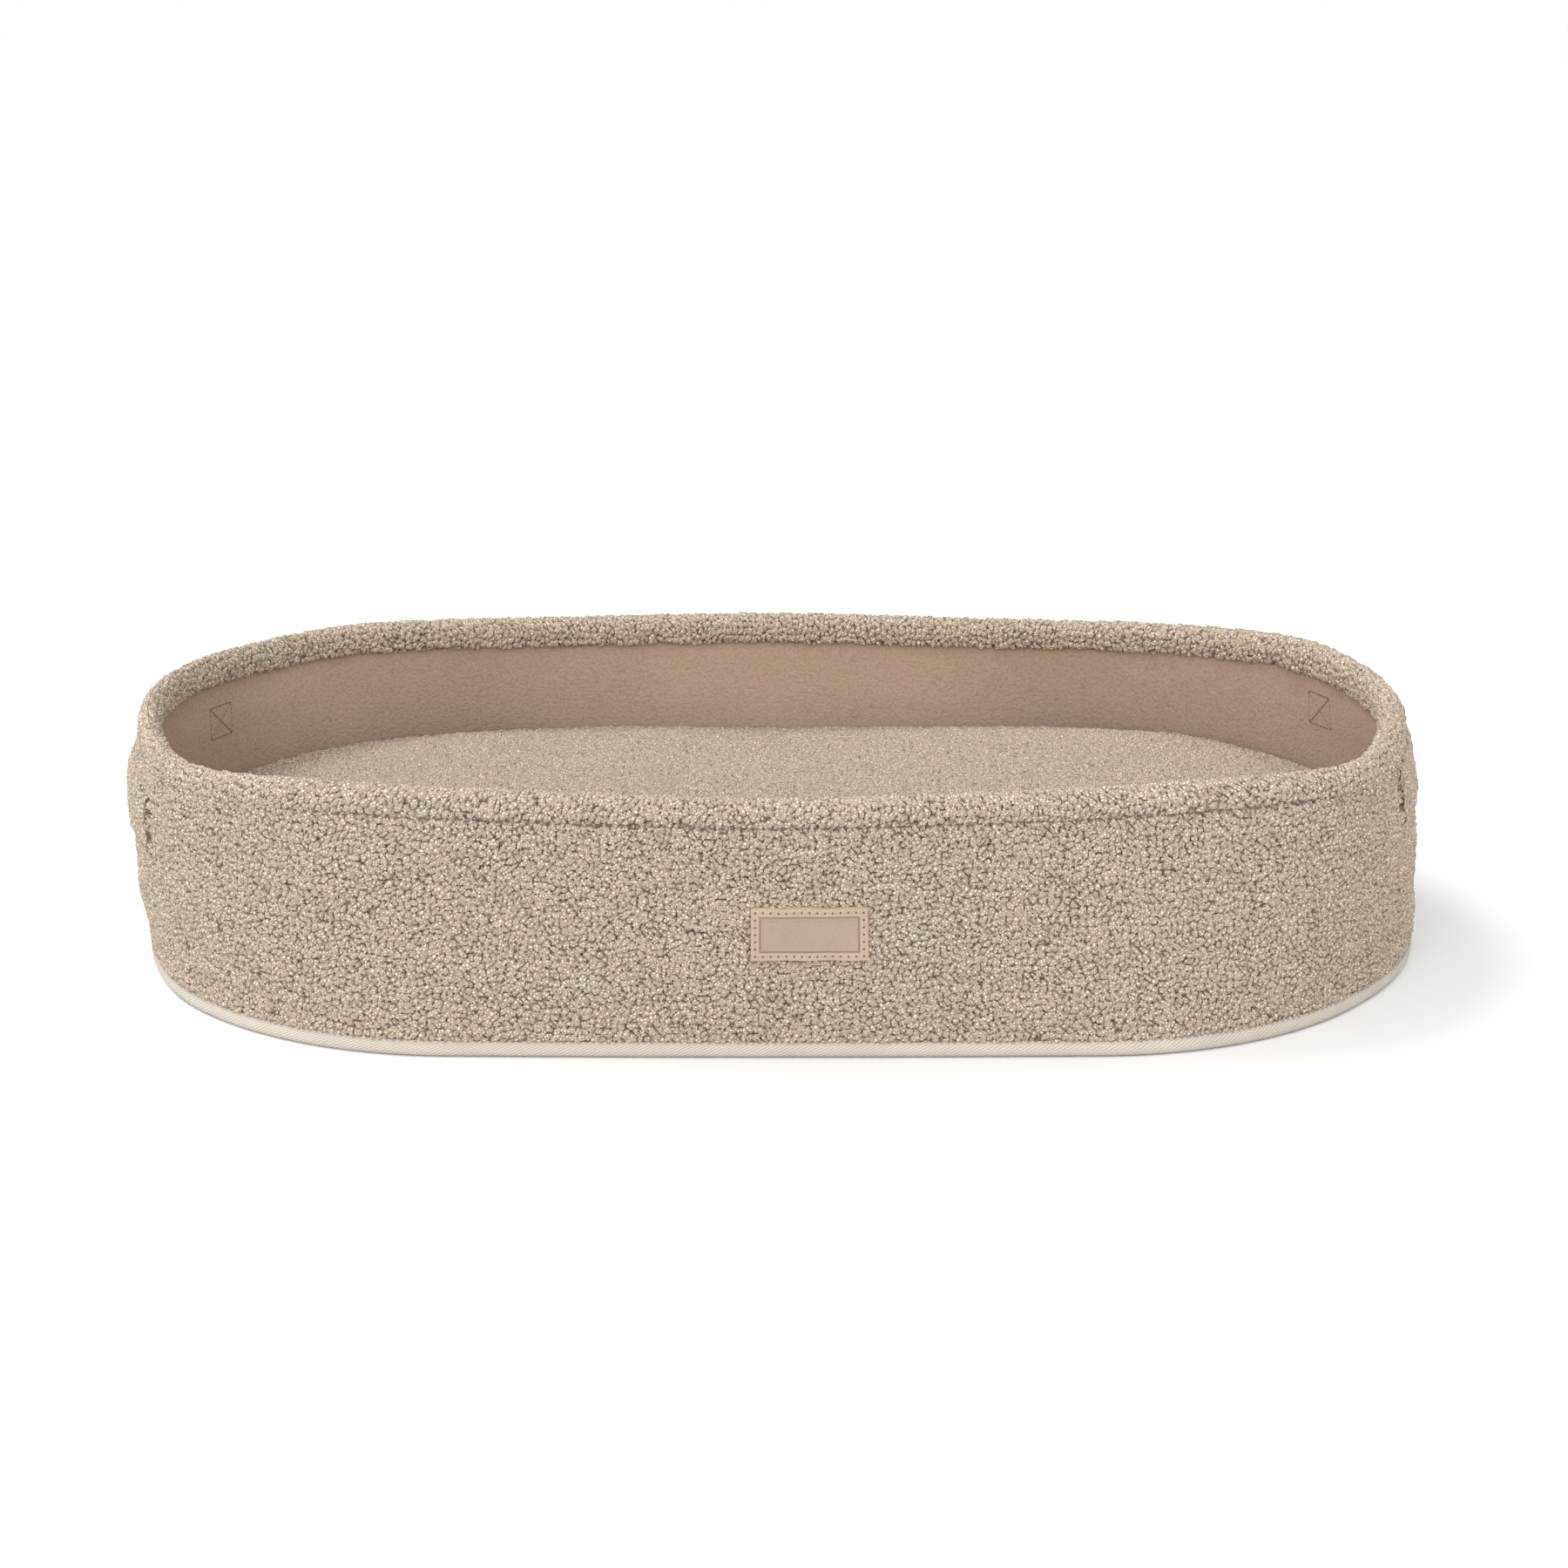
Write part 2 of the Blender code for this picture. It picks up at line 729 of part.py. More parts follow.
make_zip(make_mat())
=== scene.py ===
# Soft oval changing basket with its mat, straps and patch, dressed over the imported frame.
# Metres, +Z up, patch side facing -Y. A turn is a share of the way round: 0 front, 0.25 right end, 0.5 back.
import math

import bpy
import numpy as np
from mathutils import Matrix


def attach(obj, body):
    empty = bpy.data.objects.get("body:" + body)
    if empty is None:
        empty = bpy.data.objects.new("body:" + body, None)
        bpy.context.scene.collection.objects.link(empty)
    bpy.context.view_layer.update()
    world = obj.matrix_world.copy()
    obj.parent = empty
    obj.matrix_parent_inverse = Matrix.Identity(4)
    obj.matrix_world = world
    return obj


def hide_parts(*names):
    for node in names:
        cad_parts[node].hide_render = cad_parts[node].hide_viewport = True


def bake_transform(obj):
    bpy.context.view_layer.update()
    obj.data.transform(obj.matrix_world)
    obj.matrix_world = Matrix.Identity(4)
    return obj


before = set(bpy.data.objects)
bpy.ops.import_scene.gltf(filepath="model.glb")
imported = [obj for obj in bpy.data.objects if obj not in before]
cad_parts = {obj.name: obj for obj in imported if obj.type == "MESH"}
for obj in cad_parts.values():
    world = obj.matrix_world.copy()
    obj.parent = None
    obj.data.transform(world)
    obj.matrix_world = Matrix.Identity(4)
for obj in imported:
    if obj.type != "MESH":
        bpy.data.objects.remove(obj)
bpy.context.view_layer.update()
print("frame loaded")

basket = {
    "floorLength": 0.748, "floorWidth": 0.403, "floorSideRadius": 10.0,
    "rimLength": 0.750, "rimWidth": 0.387, "rimSideRadius": 1.39,
    "rimHeight": 0.141, "endRise": 0.006,
    "wallThickness": 0.0161, "liningFace": 0.0128,
    "swayDepth": 0.0006, "swayLift": 0.0008, "liftLag": 0.37,
    "swayWaves": ((2, 0.9, 0.6), (3, 2.1, 0.8), (5, 4.0, 0.6), (9, 1.2, 0.35)),  # waves round, phase, share
}
endShape = {  # how each soft end leans: in at the rim, out lower down, with a slimmer roll
    "tip": 0.375, "bulgeTop": 0.115, "slimFrom": 0.10, "slimTo": 0.125,
    "footFrom": 0.325, "footLow": 0.02, "footHigh": 0.045,  # where the foot of the end draws in
    "corners": {  # where the rim's four corners sag or rise: from this x, about this y, over this spread
        "frontCorner": (0.220, -0.115, 0.060), "backCorner": (0.255, 0.12, 0.06),
    },
    "cornerTo": 0.355,
    "right": {
        "frontCorner": -0.0090, "backCorner": 0.0026, "foot": -0.0035, "reach": 0.325,
        "tuck": 0.0090, "tuckFrom": 0.060, "tuckTo": 0.145, "bulge": 0.0030, "slim": 0.9,
    },
    "left": {
        "frontCorner": -0.0110, "backCorner": -0.0020, "foot": 0.0045, "reach": 0.27,
        "tuck": 0.0055, "tuckFrom": 0.100, "tuckTo": 0.136, "bulge": 0.0010, "slim": 0.68,
    },
}


# Geometry helpers

def smooth(values, low, high):
    # 0 below low, 1 above high, and a smooth step of 3x^2 - 2x^3 between
    share = np.clip((values - low) / (high - low), 0, 1)
    return share * share * (3 - 2 * share)


def ovalSpots(angle, length, width, sideRadius, inset):
    # where rays from the middle meet an oval of four tangent arcs, drawn in by the inset:
    # the far root of the ray with the end circle, or with the side circle past the point where they join
    sideCentre = sideRadius - width / 2
    endRadius = (sideRadius ** 2 - sideCentre ** 2 - length ** 2 / 4) / (2 * sideRadius - length)
    endCentre = length / 2 - endRadius
    along = np.abs(np.cos(angle))
    across = np.abs(np.sin(angle))
    endRoot = (along * endCentre) ** 2 - endCentre ** 2 + (endRadius - inset) ** 2
    sideRoot = (across * sideCentre) ** 2 - sideCentre ** 2 + (sideRadius - inset) ** 2
    endReach = along * endCentre + np.sqrt(np.maximum(endRoot, 0))
    sideReach = np.sqrt(np.maximum(sideRoot, 0)) - across * sideCentre
    join = endCentre * (sideRadius - inset) / (sideRadius - endRadius)
    reach = np.where(endReach * along < join, sideReach, endReach)
    return np.cos(angle) * reach, np.sin(angle) * reach


def floorSpots(angle, inset):
    return ovalSpots(angle, basket["floorLength"], basket["floorWidth"], basket["floorSideRadius"], inset)


def rimSpots(angle, inset):
    return ovalSpots(angle, basket["rimLength"], basket["rimWidth"], basket["rimSideRadius"], inset)


def runAlong(x, y):
    # how far along a polyline each of its points lies
    return np.concatenate([[0], np.cumsum(np.hypot(np.diff(x), np.diff(y)))])


angleTable = np.linspace(-math.pi / 2, 1.5 * math.pi, 6001)
runTable = runAlong(*(sum(pair) / 2 for pair in zip(floorSpots(angleTable, 0), rimSpots(angleTable, 0))))
girth = runTable[-1]  # way round the outside of the wall


def waves(turn):
    # a sum of cosines round the basket, each with its own count, phase and share
    turns = 2 * math.pi * turn
    return sum(share * np.cos(turns * count + phase) for count, phase, share in basket["swayWaves"])


def wallSpots(turn, height, inset):
    # a point of the wall: floor and rim ovals mixed by height, then the ends' lean and rise and a slight sway
    turn, height, inset = np.broadcast_arrays(turn, height, inset)
    angle = np.interp(np.mod(turn, 1) * girth, runTable, angleTable)
    share = height / basket["rimHeight"]
    inset = inset - basket["swayDepth"] * waves(turn) * np.clip(share, 0, 1)
    right = np.cos(angle) > 0
    own = {key: np.where(right, value, endShape["left"][key]) for key, value in endShape["right"].items()}
    atEnd = smooth(np.abs(floorSpots(angle, 0)[0]), own["reach"], endShape["tip"])
    slimming = atEnd * smooth(height, endShape["slimFrom"], endShape["slimTo"])
    inset = inset * (1 - (1 - own["slim"]) * slimming)
    floorX, floorY = floorSpots(angle, inset)
    rimX, rimY = rimSpots(angle, inset)
    x = floorX + (rimX - floorX) * share
    y = floorY + (rimY - floorY) * share
    tuck = own["tuck"] * smooth(height, own["tuckFrom"], own["tuckTo"])
    bulge = own["bulge"] * np.sin(np.clip(height / endShape["bulgeTop"], 0, 1) * math.pi)
    foot = own["foot"] * smooth(np.abs(x), endShape["footFrom"], endShape["tip"])
    foot = foot * (1 - smooth(height, endShape["footLow"], endShape["footHigh"]))
    x = x - np.sign(x) * ((tuck - bulge) * atEnd + foot)
    rise = basket["endRise"] * (2 * x / basket["rimLength"]) ** 2
    for key, (start, middle, spread) in endShape["corners"].items():
        near = np.exp(-((y - middle) / spread) ** 2)
        rise = rise + own[key] * near * smooth(np.abs(x), start, endShape["cornerTo"])
    lift = basket["swayLift"] * waves(turn + basket["liftLag"]) * share ** 2
    return np.stack([x, y, height + rise * share ** 2 + lift], -1)


def roundTurns(count):
    return np.linspace(0, 1, count, endpoint=False)[:, None]


def evenPoints(profile, step):
    # a polyline of (inset, height) resampled evenly, and how far along it each point lies
    inset, height = np.array(profile).T
    run = runAlong(inset, height)
    marks = np.linspace(0, run[-1], int(round(run[-1] / step)) + 1)
    return np.interp(marks, run, inset), np.interp(marks, run, height), marks


def facing(points):
    # unit normals of a grid of points: the cross product of its two slopes
    normal = np.cross(np.gradient(points, axis=0), np.gradient(points, axis=1))
    return normal / np.maximum(np.linalg.norm(normal, axis=-1, keepdims=True), 1e-12)


nubShape = {
    "sideSway": 0.45, "sideRipple": 0.35, "swayPerMetre": 210, "ripplePerMetre": 470,  # columns, in cells
    "rowSway": 0.0014, "rowRipple": 0.0011, "wavesPerMetre": (3, 19, 37),  # rows, in metres
    "centres": (0.07, 0.93), "heights": (0.62, 1.0), "crevice": 0.50,
}


def nubs(across, up, pitch, span, seed):
    # curly pile: each point belongs to the nearest of the jittered cell centres, whose dome falls away with
    # distance and drops into a crevice where the next nearest centre is as close; 0 deep to 1 high.
    # Sines bend the rows and columns of cells, with whole waves round the span, so that the pile meets itself
    columns = max(int(round(span / pitch)), 3)
    cell = span / columns
    bend = 2 * math.pi * across / span
    wide, middling, narrow = (max(int(round(span * count)), 1) for count in nubShape["wavesPerMetre"])
    slow = up * nubShape["swayPerMetre"] + 2 * np.sin(bend * 2 * wide)
    u = across / cell + nubShape["sideSway"] * np.sin(slow)
    u = u + nubShape["sideRipple"] * np.sin(up * nubShape["ripplePerMetre"] + 1)
    v = up + nubShape["rowSway"] * np.sin(bend * middling + 1)
    v = (v + nubShape["rowRipple"] * np.sin(bend * narrow + 3 * np.sin(bend * wide))) / pitch
    v = v - np.floor(v.min()) + 1
    rows = int(v.max()) + 3
    draw = np.random.default_rng(seed)
    offset = draw.uniform(*nubShape["centres"], (2, columns, rows))
    tall = draw.uniform(*nubShape["heights"], (columns, rows))
    cellU = np.floor(u).astype(int)
    cellV = np.floor(v).astype(int)
    nearest = np.full(u.shape, 9.0)
    second = np.full(u.shape, 9.0)
    top = np.zeros(u.shape)
    for stepU in (-1, 0, 1):
        for stepV in (-1, 0, 1):
            i = (cellU + stepU) % columns
            j = np.clip(cellV + stepV, 0, rows - 1)
            away = np.hypot(u - (cellU + stepU) - offset[0, i, j], v - (cellV + stepV) - offset[1, i, j])
            closer = away < nearest
            second = np.where(closer, nearest, np.minimum(second, away))
            top = np.where(closer, tall[i, j], top)
            nearest = np.where(closer, away, nearest)
    edge = np.clip((second - nearest) / nubShape["crevice"], 0, 1)
    return top * (1 - 0.5 * nearest ** 2) * np.sqrt(edge * (2 - edge))


def addObject(name, data):
    made = bpy.data.objects.new(name, data)
    bpy.context.scene.collection.objects.link(made)
    return made


def makeMesh(name, points, faces, material, body, slot, pile=None, uv=None, replaced=()):
    # points and faces of 3 or 4 corners into a smooth mesh that rides on a body
    mesh = bpy.data.meshes.new(name)
    mesh.vertices.add(points.size // 3)
    mesh.vertices.foreach_set("co", np.ascontiguousarray(points, np.float32).ravel())
    mesh.loops.add(faces.size)
    mesh.loops.foreach_set("vertex_index", np.ascontiguousarray(faces, np.int32).ravel())
    mesh.polygons.add(len(faces))
    mesh.polygons.foreach_set("loop_start", np.arange(0, faces.size, faces.shape[1], dtype=np.int32))
    mesh.update(calc_edges=True)
    mesh.polygons.foreach_set("use_smooth", np.ones(len(faces), bool))
    if pile is not None:
        layer = mesh.attributes.new("pile", "FLOAT", "POINT")
        layer.data.foreach_set("value", np.ascontiguousarray(pile, np.float32).ravel())
    if uv is not None:
        layer = mesh.uv_layers.new(name="UVMap")
        corner = uv.reshape(-1, 2)[faces]
        closing = np.ptp(corner[..., 0], axis=1, keepdims=True) > girth / 2
        corner[..., 0] += girth * (closing & (corner[..., 0] < girth / 2))  # these read on past the end
        layer.data.foreach_set("uv", np.ascontiguousarray(corner, np.float32).ravel())
    mesh.materials.append(material)
    piece = addObject(name, mesh)
    if body:
        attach(piece, body)
    if replaced:
        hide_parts(*replaced)
    return piece


def gridFaces(rows, columns, closeRows=False, closeColumns=False):
    # quads of a grid, wound so that row direction x column direction points out
    i = np.arange(rows if closeRows else rows - 1)[:, None]
    j = np.arange(columns if closeColumns else columns - 1)[None, :]
    after = (i + 1) % rows
    beside = (j + 1) % columns
    quads = [i * columns + j, after * columns + j, after * columns + beside, i * columns + beside]
    return np.stack(quads, -1).reshape(-1, 4)


def tubeFaces(points, sides):
    # triangles round a tube of rings, and a fan over each end
    quads = gridFaces(points, sides, closeColumns=True)
    fan = np.array([[0, k + 1, k] for k in range(1, sides - 1)])
    last = (points - 1) * sides
    return np.concatenate([quads[:, [0, 1, 2]], quads[:, [0, 2, 3]], fan, last + fan[:, [0, 2, 1]]])


def makeGrid(name, points, material, body, slot, closeRows=False, closeColumns=False, **more):
    faces = gridFaces(*points.shape[:2], closeRows, closeColumns)
    return makeMesh(name, points, faces, material, body, slot, **more)


def makeThreads(name, paths, outward, radius, material, body, slot, replaced, sides=5):
    # many short threads at once: each path (threads, points, 3) carries a ring of sides, tapered at both ends
    count, points = paths.shape[:2]
    tangent = np.gradient(paths, axis=1)
    tangent /= np.linalg.norm(tangent, axis=-1, keepdims=True)
    side = np.cross(tangent, outward)
    side /= np.linalg.norm(side, axis=-1, keepdims=True)
    up = np.cross(side, tangent)
    taper = np.sqrt(np.clip(1 - np.abs(np.linspace(-1, 1, points)) ** 6, 0.02, 1)) * radius
    ring = 2 * math.pi * np.arange(sides) / sides
    around = side[:, :, None] * np.cos(ring)[:, None] + up[:, :, None] * np.sin(ring)[:, None]
    spots = paths[:, :, None] + around * taper[None, :, None, None]
    faces = np.arange(count)[:, None, None] * points * sides + tubeFaces(points, sides)[None]
    return makeMesh(name, spots, faces.reshape(-1, 3)[:, ::-1], material, body, slot, replaced=replaced)


# Shader helpers

class Wire:
    # an output of one material's nodes; arithmetic on it adds Math nodes
    def __init__(self, finish, socket):
        self.finish = finish
        self.socket = socket

    def maths(self, operation, first, second=0.0):
        return self.finish.node("ShaderNodeMath", {"operation": operation}, {0: first, 1: second})

    def __add__(self, other):
        return self.maths("ADD", self, other)

    def __sub__(self, other):
        return self.maths("SUBTRACT", self, other)

    def __rsub__(self, other):
        return self.maths("SUBTRACT", other, self)

    def __mul__(self, other):
        return self.maths("MULTIPLY", self, other)

    def __truediv__(self, other):
        return self.maths("DIVIDE", self, other)

    __radd__ = __add__
    __rmul__ = __mul__

    def sine(self):
        return self.maths("SINE", self)

    def clip(self):
        return self.finish.node("ShaderNodeClamp", {}, {"Value": self})


class Finish:
    # a material, its Principled shader and one method that adds any node
    def __init__(self, name, constants):
        self.material = bpy.data.materials.new(name)
        self.material.use_nodes = True
        self.tree = self.material.node_tree
        self.shader = self.tree.nodes["Principled BSDF"]
        for socket, value in constants.items():
            self.shader.inputs[socket].default_value = value

    def node(self, kind, settings, inputs, output=0):
        made = self.tree.nodes.new(kind)
        for key, value in settings.items():
            setattr(made, key, value)
        for key, value in inputs.items():
            self.put(made.inputs[key], value)
        return Wire(self, made.outputs[output])

    def put(self, socket, value):
        if isinstance(value, Wire):
            self.tree.links.new(value.socket, socket)
        else:
            socket.default_value = value

    def place(self, kind="Object"):
        return self.node("ShaderNodeTexCoord", {}, {}, kind)

    def pile(self):
        return self.node("ShaderNodeAttribute", {"attribute_name": "pile"}, {}, "Fac")

    def split(self, place):
        # the first two coordinates of a place
        first = self.node("ShaderNodeSeparateXYZ", {}, {0: place})
        return first, Wire(self, first.socket.node.outputs[1])

    def noise(self, place, scale, detail=2.0, roughness=0.55, output=0):
        return self.node("ShaderNodeTexNoise", {}, {
            "Vector": place, "Scale": scale, "Detail": detail, "Roughness": roughness}, output)

    def cells(self, place, scale, feature):
        return self.node("ShaderNodeTexVoronoi", {"feature": feature}, {
            "Vector": place, "Scale": scale}, "Distance")

    def blend(self, share, first, second):
        mix = self.tree.nodes.new("ShaderNodeMix")
        mix.data_type = "RGBA"
        self.put(mix.inputs["Factor"], share)
        for socket, value in ((mix.inputs[6], first), (mix.inputs[7], second)):
            self.put(socket, value if isinstance(value, Wire) else (*value, 1.0))
        return Wire(self, mix.outputs[2])

    def bump(self, height, distance, strength=1.0):
        self.put(self.shader.inputs["Normal"], self.node("ShaderNodeBump", {}, {
            "Height": height, "Distance": distance, "Strength": strength}))

    def colour(self, value):
        self.put(self.shader.inputs["Base Color"], value)

    def roughness(self, value):
        self.put(self.shader.inputs["Roughness"], value)


def boucleFinish(name, look):
    # looped pile: light on the mesh's own nubs and painted shade in their crevices, parted again by painted
    # shade in the creases of a stirred cell net, with fine fuzz over both and slow patches of tint
    finish = Finish(name, {"Roughness": 0.95, "Sheen Weight": 0.2, "Sheen Roughness": 0.5,
                           "Specular IOR Level": 0.15})
    place = finish.place()
    nub = ((finish.pile() - look["creviceTop"]) / (look["nubTop"] - look["creviceTop"])).clip()
    stir = finish.noise(place, look["stirScale"], 2.0, 0.5, "Color")
    stirred = finish.node("ShaderNodeVectorMath", {"operation": "MULTIPLY_ADD"}, {
        0: stir, 1: (look["stir"],) * 3, 2: place})
    crease = (finish.cells(stirred, look["loopScale"], "DISTANCE_TO_EDGE") * look["creaseRise"]).clip()
    fuzz = finish.noise(place, look["fuzzScale"], 3.0, 0.7)
    tint = finish.noise(place, look["tintScale"], 1.0)
    # painted shade: the colour runs to its darkest where the pile is low and along the creases
    creased = nub * (crease * look["creaseShare"] + (1 - look["creaseShare"]))
    level = (creased + (fuzz - 0.5) * look["fuzzShare"]).clip()
    body = finish.blend(level, look["deep"], look["light"])
    finish.colour(finish.blend((tint * 1.6 - 0.4).clip() * look["tintShare"], body, look["tint"]))
    finish.bump(crease * 0.8 + fuzz * 0.3, look["bumpDepth"], look["bumpStrength"])
    return finish.material


def leatherFinish(name, look):
    # pebbled grain: soft cells for the pebbles, broken by noise, and slow patches of light and dark;
    # where a piece carries its own shade, 1 is plain and lower is darker: the pressed frame line's own
    # colour, and painted shade in the needle holes
    finish = Finish(name, {"Specular IOR Level": 0.35})
    place = finish.place()
    pebbles = finish.cells(place, look["grainScale"], "SMOOTH_F1")
    grit = finish.noise(place, look["grainScale"] * 1.4, 3.0, 0.65)
    patches = finish.noise(place, look["patchScale"], 3.0)
    height = (1 - pebbles) * 0.7 + grit * 0.5
    shade = ((patches - 0.5) * 0.5 + (height - 0.6) * look["grainShare"] + 0.5).clip()
    skin = finish.blend(shade, look["dark"], look["light"])
    # a piece's own shade blends towards one dark colour: the pressed leather's own, and painted shade in
    # holes
    if look["pressed"]:
        skin = finish.blend(finish.pile(), look["pressed"], skin)
    finish.colour(skin)
    finish.roughness(look["roughness"] + (grit - 0.5) * 0.2)
    finish.bump(height, look["grainDepth"], look["grainStrength"])
    return finish.material


def twillFinish(name, look):
    # diagonal ribs: a sine of the way along plus the way across, crossed by finer weft
    finish = Finish(name, {"Roughness": 0.8, "Sheen Weight": 0.15, "Sheen Roughness": 0.5})
    along, across = finish.split(finish.place("UV"))
    slanted = along * look["ribsPerMetre"] + across * look["slantPerMetre"]
    ribs = (slanted * (2 * math.pi)).sine() * 0.5 + 0.5
    weft = (across * (look["weftPerMetre"] * 2 * math.pi)).sine() * 0.5 + 0.5
    dirt = finish.noise(finish.place(), look["patchScale"], 3.0)
    level = (ribs * 0.6 + weft * 0.15 + dirt * 0.45).clip()
    finish.colour(finish.blend(level, look["dark"], look["light"]))
    finish.bump(ribs * 0.8 + weft * 0.2, look["depth"])
    return finish.material


def threadFinish(name, look):
    # spun thread: fine noise for the twist, dark to light
    finish = Finish(name, {"Roughness": 0.75, "Sheen Weight": 0.1})
    ply = finish.noise(finish.place(), look["plyScale"], 2.0)
    finish.colour(finish.blend(ply, look["dark"], look["light"]))
    finish.bump(ply, look["depth"])
    return finish.material


def weaveFinish(name, look):
    # plain weave on object coordinates: the product of two sines, with a slow shade over it
    finish = Finish(name, {"Roughness": 0.9, "Sheen Weight": 0.1})
    place = finish.place()
    along, across = finish.split(place)
    turns = look["threadsPerMetre"] * math.pi
    weave = (along * turns).sine() * (across * turns).sine() * 0.5 + 0.5
    shade = finish.noise(place, look["patchScale"], 3.0)
    finish.colour(finish.blend((weave * 0.5 + shade * 0.5).clip(), look["dark"], look["light"]))
    finish.bump(weave, look["depth"])
    return finish.material


def plainFinish(name, look):
    # foam, board and metal inside: one colour broken by fine noise
    finish = Finish(name, {"Metallic": look["metallic"]})
    grain = finish.noise(finish.place(), look["grainScale"], 4.0, 0.7)
    finish.colour(finish.blend(grain, look["dark"], look["light"]))
    finish.roughness(look["roughness"] + (grain - 0.5) * look["roughnessSpread"])
    finish.bump(grain, look["depth"])
    return finish.material


pileLook = {
    "creaseRise": 4.0, "fuzzShare": 0.60, "tintScale": 60.0, "tintShare": 0.25, "bumpDepth": 0.0008,
    "bumpStrength": 0.9,
}
# in both bouclé looks the darkest colour is painted shade for the pile's crevices and creases
coverBoucle = boucleFinish("coverBoucle", {
    **pileLook, "deep": (0.055, 0.030, 0.015), "light": (0.96, 0.79, 0.605), "tint": (0.62, 0.47, 0.36),
    "creviceTop": 0.17, "nubTop": 0.53, "creaseShare": 0.55,
    "stirScale": 500.0, "stir": 0.0014, "loopScale": 560.0, "fuzzScale": 1400.0})
matBoucle = boucleFinish("matBoucle", {
    **pileLook, "deep": (0.080, 0.050, 0.030), "light": (0.86, 0.695, 0.51), "tint": (0.60, 0.465, 0.35),
    "creviceTop": 0.10, "nubTop": 0.50, "creaseShare": 0.60,
    "stirScale": 600.0, "stir": 0.0012, "loopScale": 680.0, "fuzzScale": 1600.0})
liningLeather = leatherFinish("liningLeather", {
    "dark": (0.360, 0.260, 0.190), "light": (0.555, 0.415, 0.32), "roughness": 0.55, "patchScale": 9.0,
    "grainScale": 600.0, "grainShare": 1.1, "grainDepth": 0.0005, "grainStrength": 0.9, "pressed": None})
patchLeather = leatherFinish("patchLeather", {
    "dark": (0.430, 0.322, 0.235), "light": (0.62, 0.475, 0.362), "roughness": 0.5, "patchScale": 40.0,
    "grainScale": 1300.0, "grainShare": 0.8, "grainDepth": 0.00015, "grainStrength": 0.5,
    "pressed": (0.16, 0.10, 0.065)})
creamTwill = twillFinish("creamTwill", {
    "dark": (0.51, 0.445, 0.35), "light": (0.87, 0.795, 0.69), "ribsPerMetre": 330.0, "slantPerMetre": -600.0,
    "weftPerMetre": 2200.0, "patchScale": 30.0, "depth": 0.0005})
zipTwill = twillFinish("zipTwill", {
    "dark": (0.50, 0.42, 0.32), "light": (0.70, 0.62, 0.50), "ribsPerMetre": 900.0, "slantPerMetre": 900.0,
    "weftPerMetre": 2200.0, "patchScale": 30.0, "depth": 0.0002})
brownThread = threadFinish("brownThread", {
    "dark": (0.10, 0.062, 0.040), "light": (0.25, 0.165, 0.115), "plyScale": 1800.0, "depth": 0.0002})
creamThread = threadFinish("creamThread", {
    "dark": (0.30, 0.22, 0.14), "light": (0.52, 0.42, 0.29), "plyScale": 1800.0, "depth": 0.0002})
naturalCanvas = weaveFinish("naturalCanvas", {
    "dark": (0.44, 0.37, 0.28), "light": (0.66, 0.58, 0.46), "threadsPerMetre": 900.0, "patchScale": 14.0,
    "depth": 0.0004})
bodyFoam = plainFinish("bodyFoam", {
    "dark": (0.70, 0.67, 0.60), "light": (0.86, 0.84, 0.78), "metallic": 0.0, "grainScale": 700.0,
    "roughness": 0.9, "roughnessSpread": 0.1, "depth": 0.0004})
greyBoard = plainFinish("greyBoard", {
    "dark": (0.36, 0.34, 0.31), "light": (0.50, 0.48, 0.44), "metallic": 0.0, "grainScale": 300.0,
    "roughness": 0.8, "roughnessSpread": 0.1, "depth": 0.0002})
zipMetal = plainFinish("zipMetal", {
    "dark": (0.50, 0.45, 0.37), "light": (0.66, 0.61, 0.52), "metallic": 1.0, "grainScale": 500.0,
    "roughness": 0.35, "roughnessSpread": 0.2, "depth": 0.00005})
print("materials made")


# Wall, rolled rim and cuff of the outer cover

cover = {
    "step": 0.00085, "pitch": 0.0037, "relief": 0.0028, "finePitch": 0.0018, "fineRelief": 0.0005,
    "swellPitch": 0.045, "swell": 0.0005, "span": girth,
    "wallSeed": 11, "rollSeed": 21, "sink": 0.0021, "rollSinkShare": 0.8,  # the pile's ground in the wall
    "tapeTop": 0.0086, "stitchHeight": 0.1285, "stripGap": 0.0006, "foldHeight": 0.13295, "foldPoints": 25,
    "valley": 0.0012, "valleySpread": 0.0017, "fadeRight": (0.06, 0.10), "fadeLeft": (0.09, 0.14),
    "cuffEdge": 0.1266, "cuffHem": 0.0012, "cuffWander": 0.0003, "wanderFrom": 0.012, "wanderTo": 0.003,
    "footFade": (0.0008, 0.0035), "topFade": 0.003,  # where the pile thins along a strip's edges
}
wallProfile = [
    (0.0022, cover["tapeTop"] - 0.0014), (0.0006, cover["tapeTop"] - 0.0004), (0, cover["tapeTop"] + 0.0022),
    (0, cover["stitchHeight"] + cover["stripGap"]),
]
foldRadius = basket["wallThickness"] / 2
rollProfile = [(cover["stripGap"], cover["stitchHeight"] - cover["stripGap"]), (0, cover["stitchHeight"])]
rollProfile += [
    (foldRadius - foldRadius * math.cos(t), cover["foldHeight"] + foldRadius * math.sin(t))
    for t in np.linspace(0, math.pi, cover["foldPoints"])
]
rollProfile += [
    (basket["wallThickness"], cover["cuffEdge"] + cover["cuffHem"]),
    (basket["wallThickness"] - 0.0004, cover["cuffEdge"]),
    (basket["liningFace"] - 0.0010, cover["cuffEdge"] + cover["cuffHem"]),
]


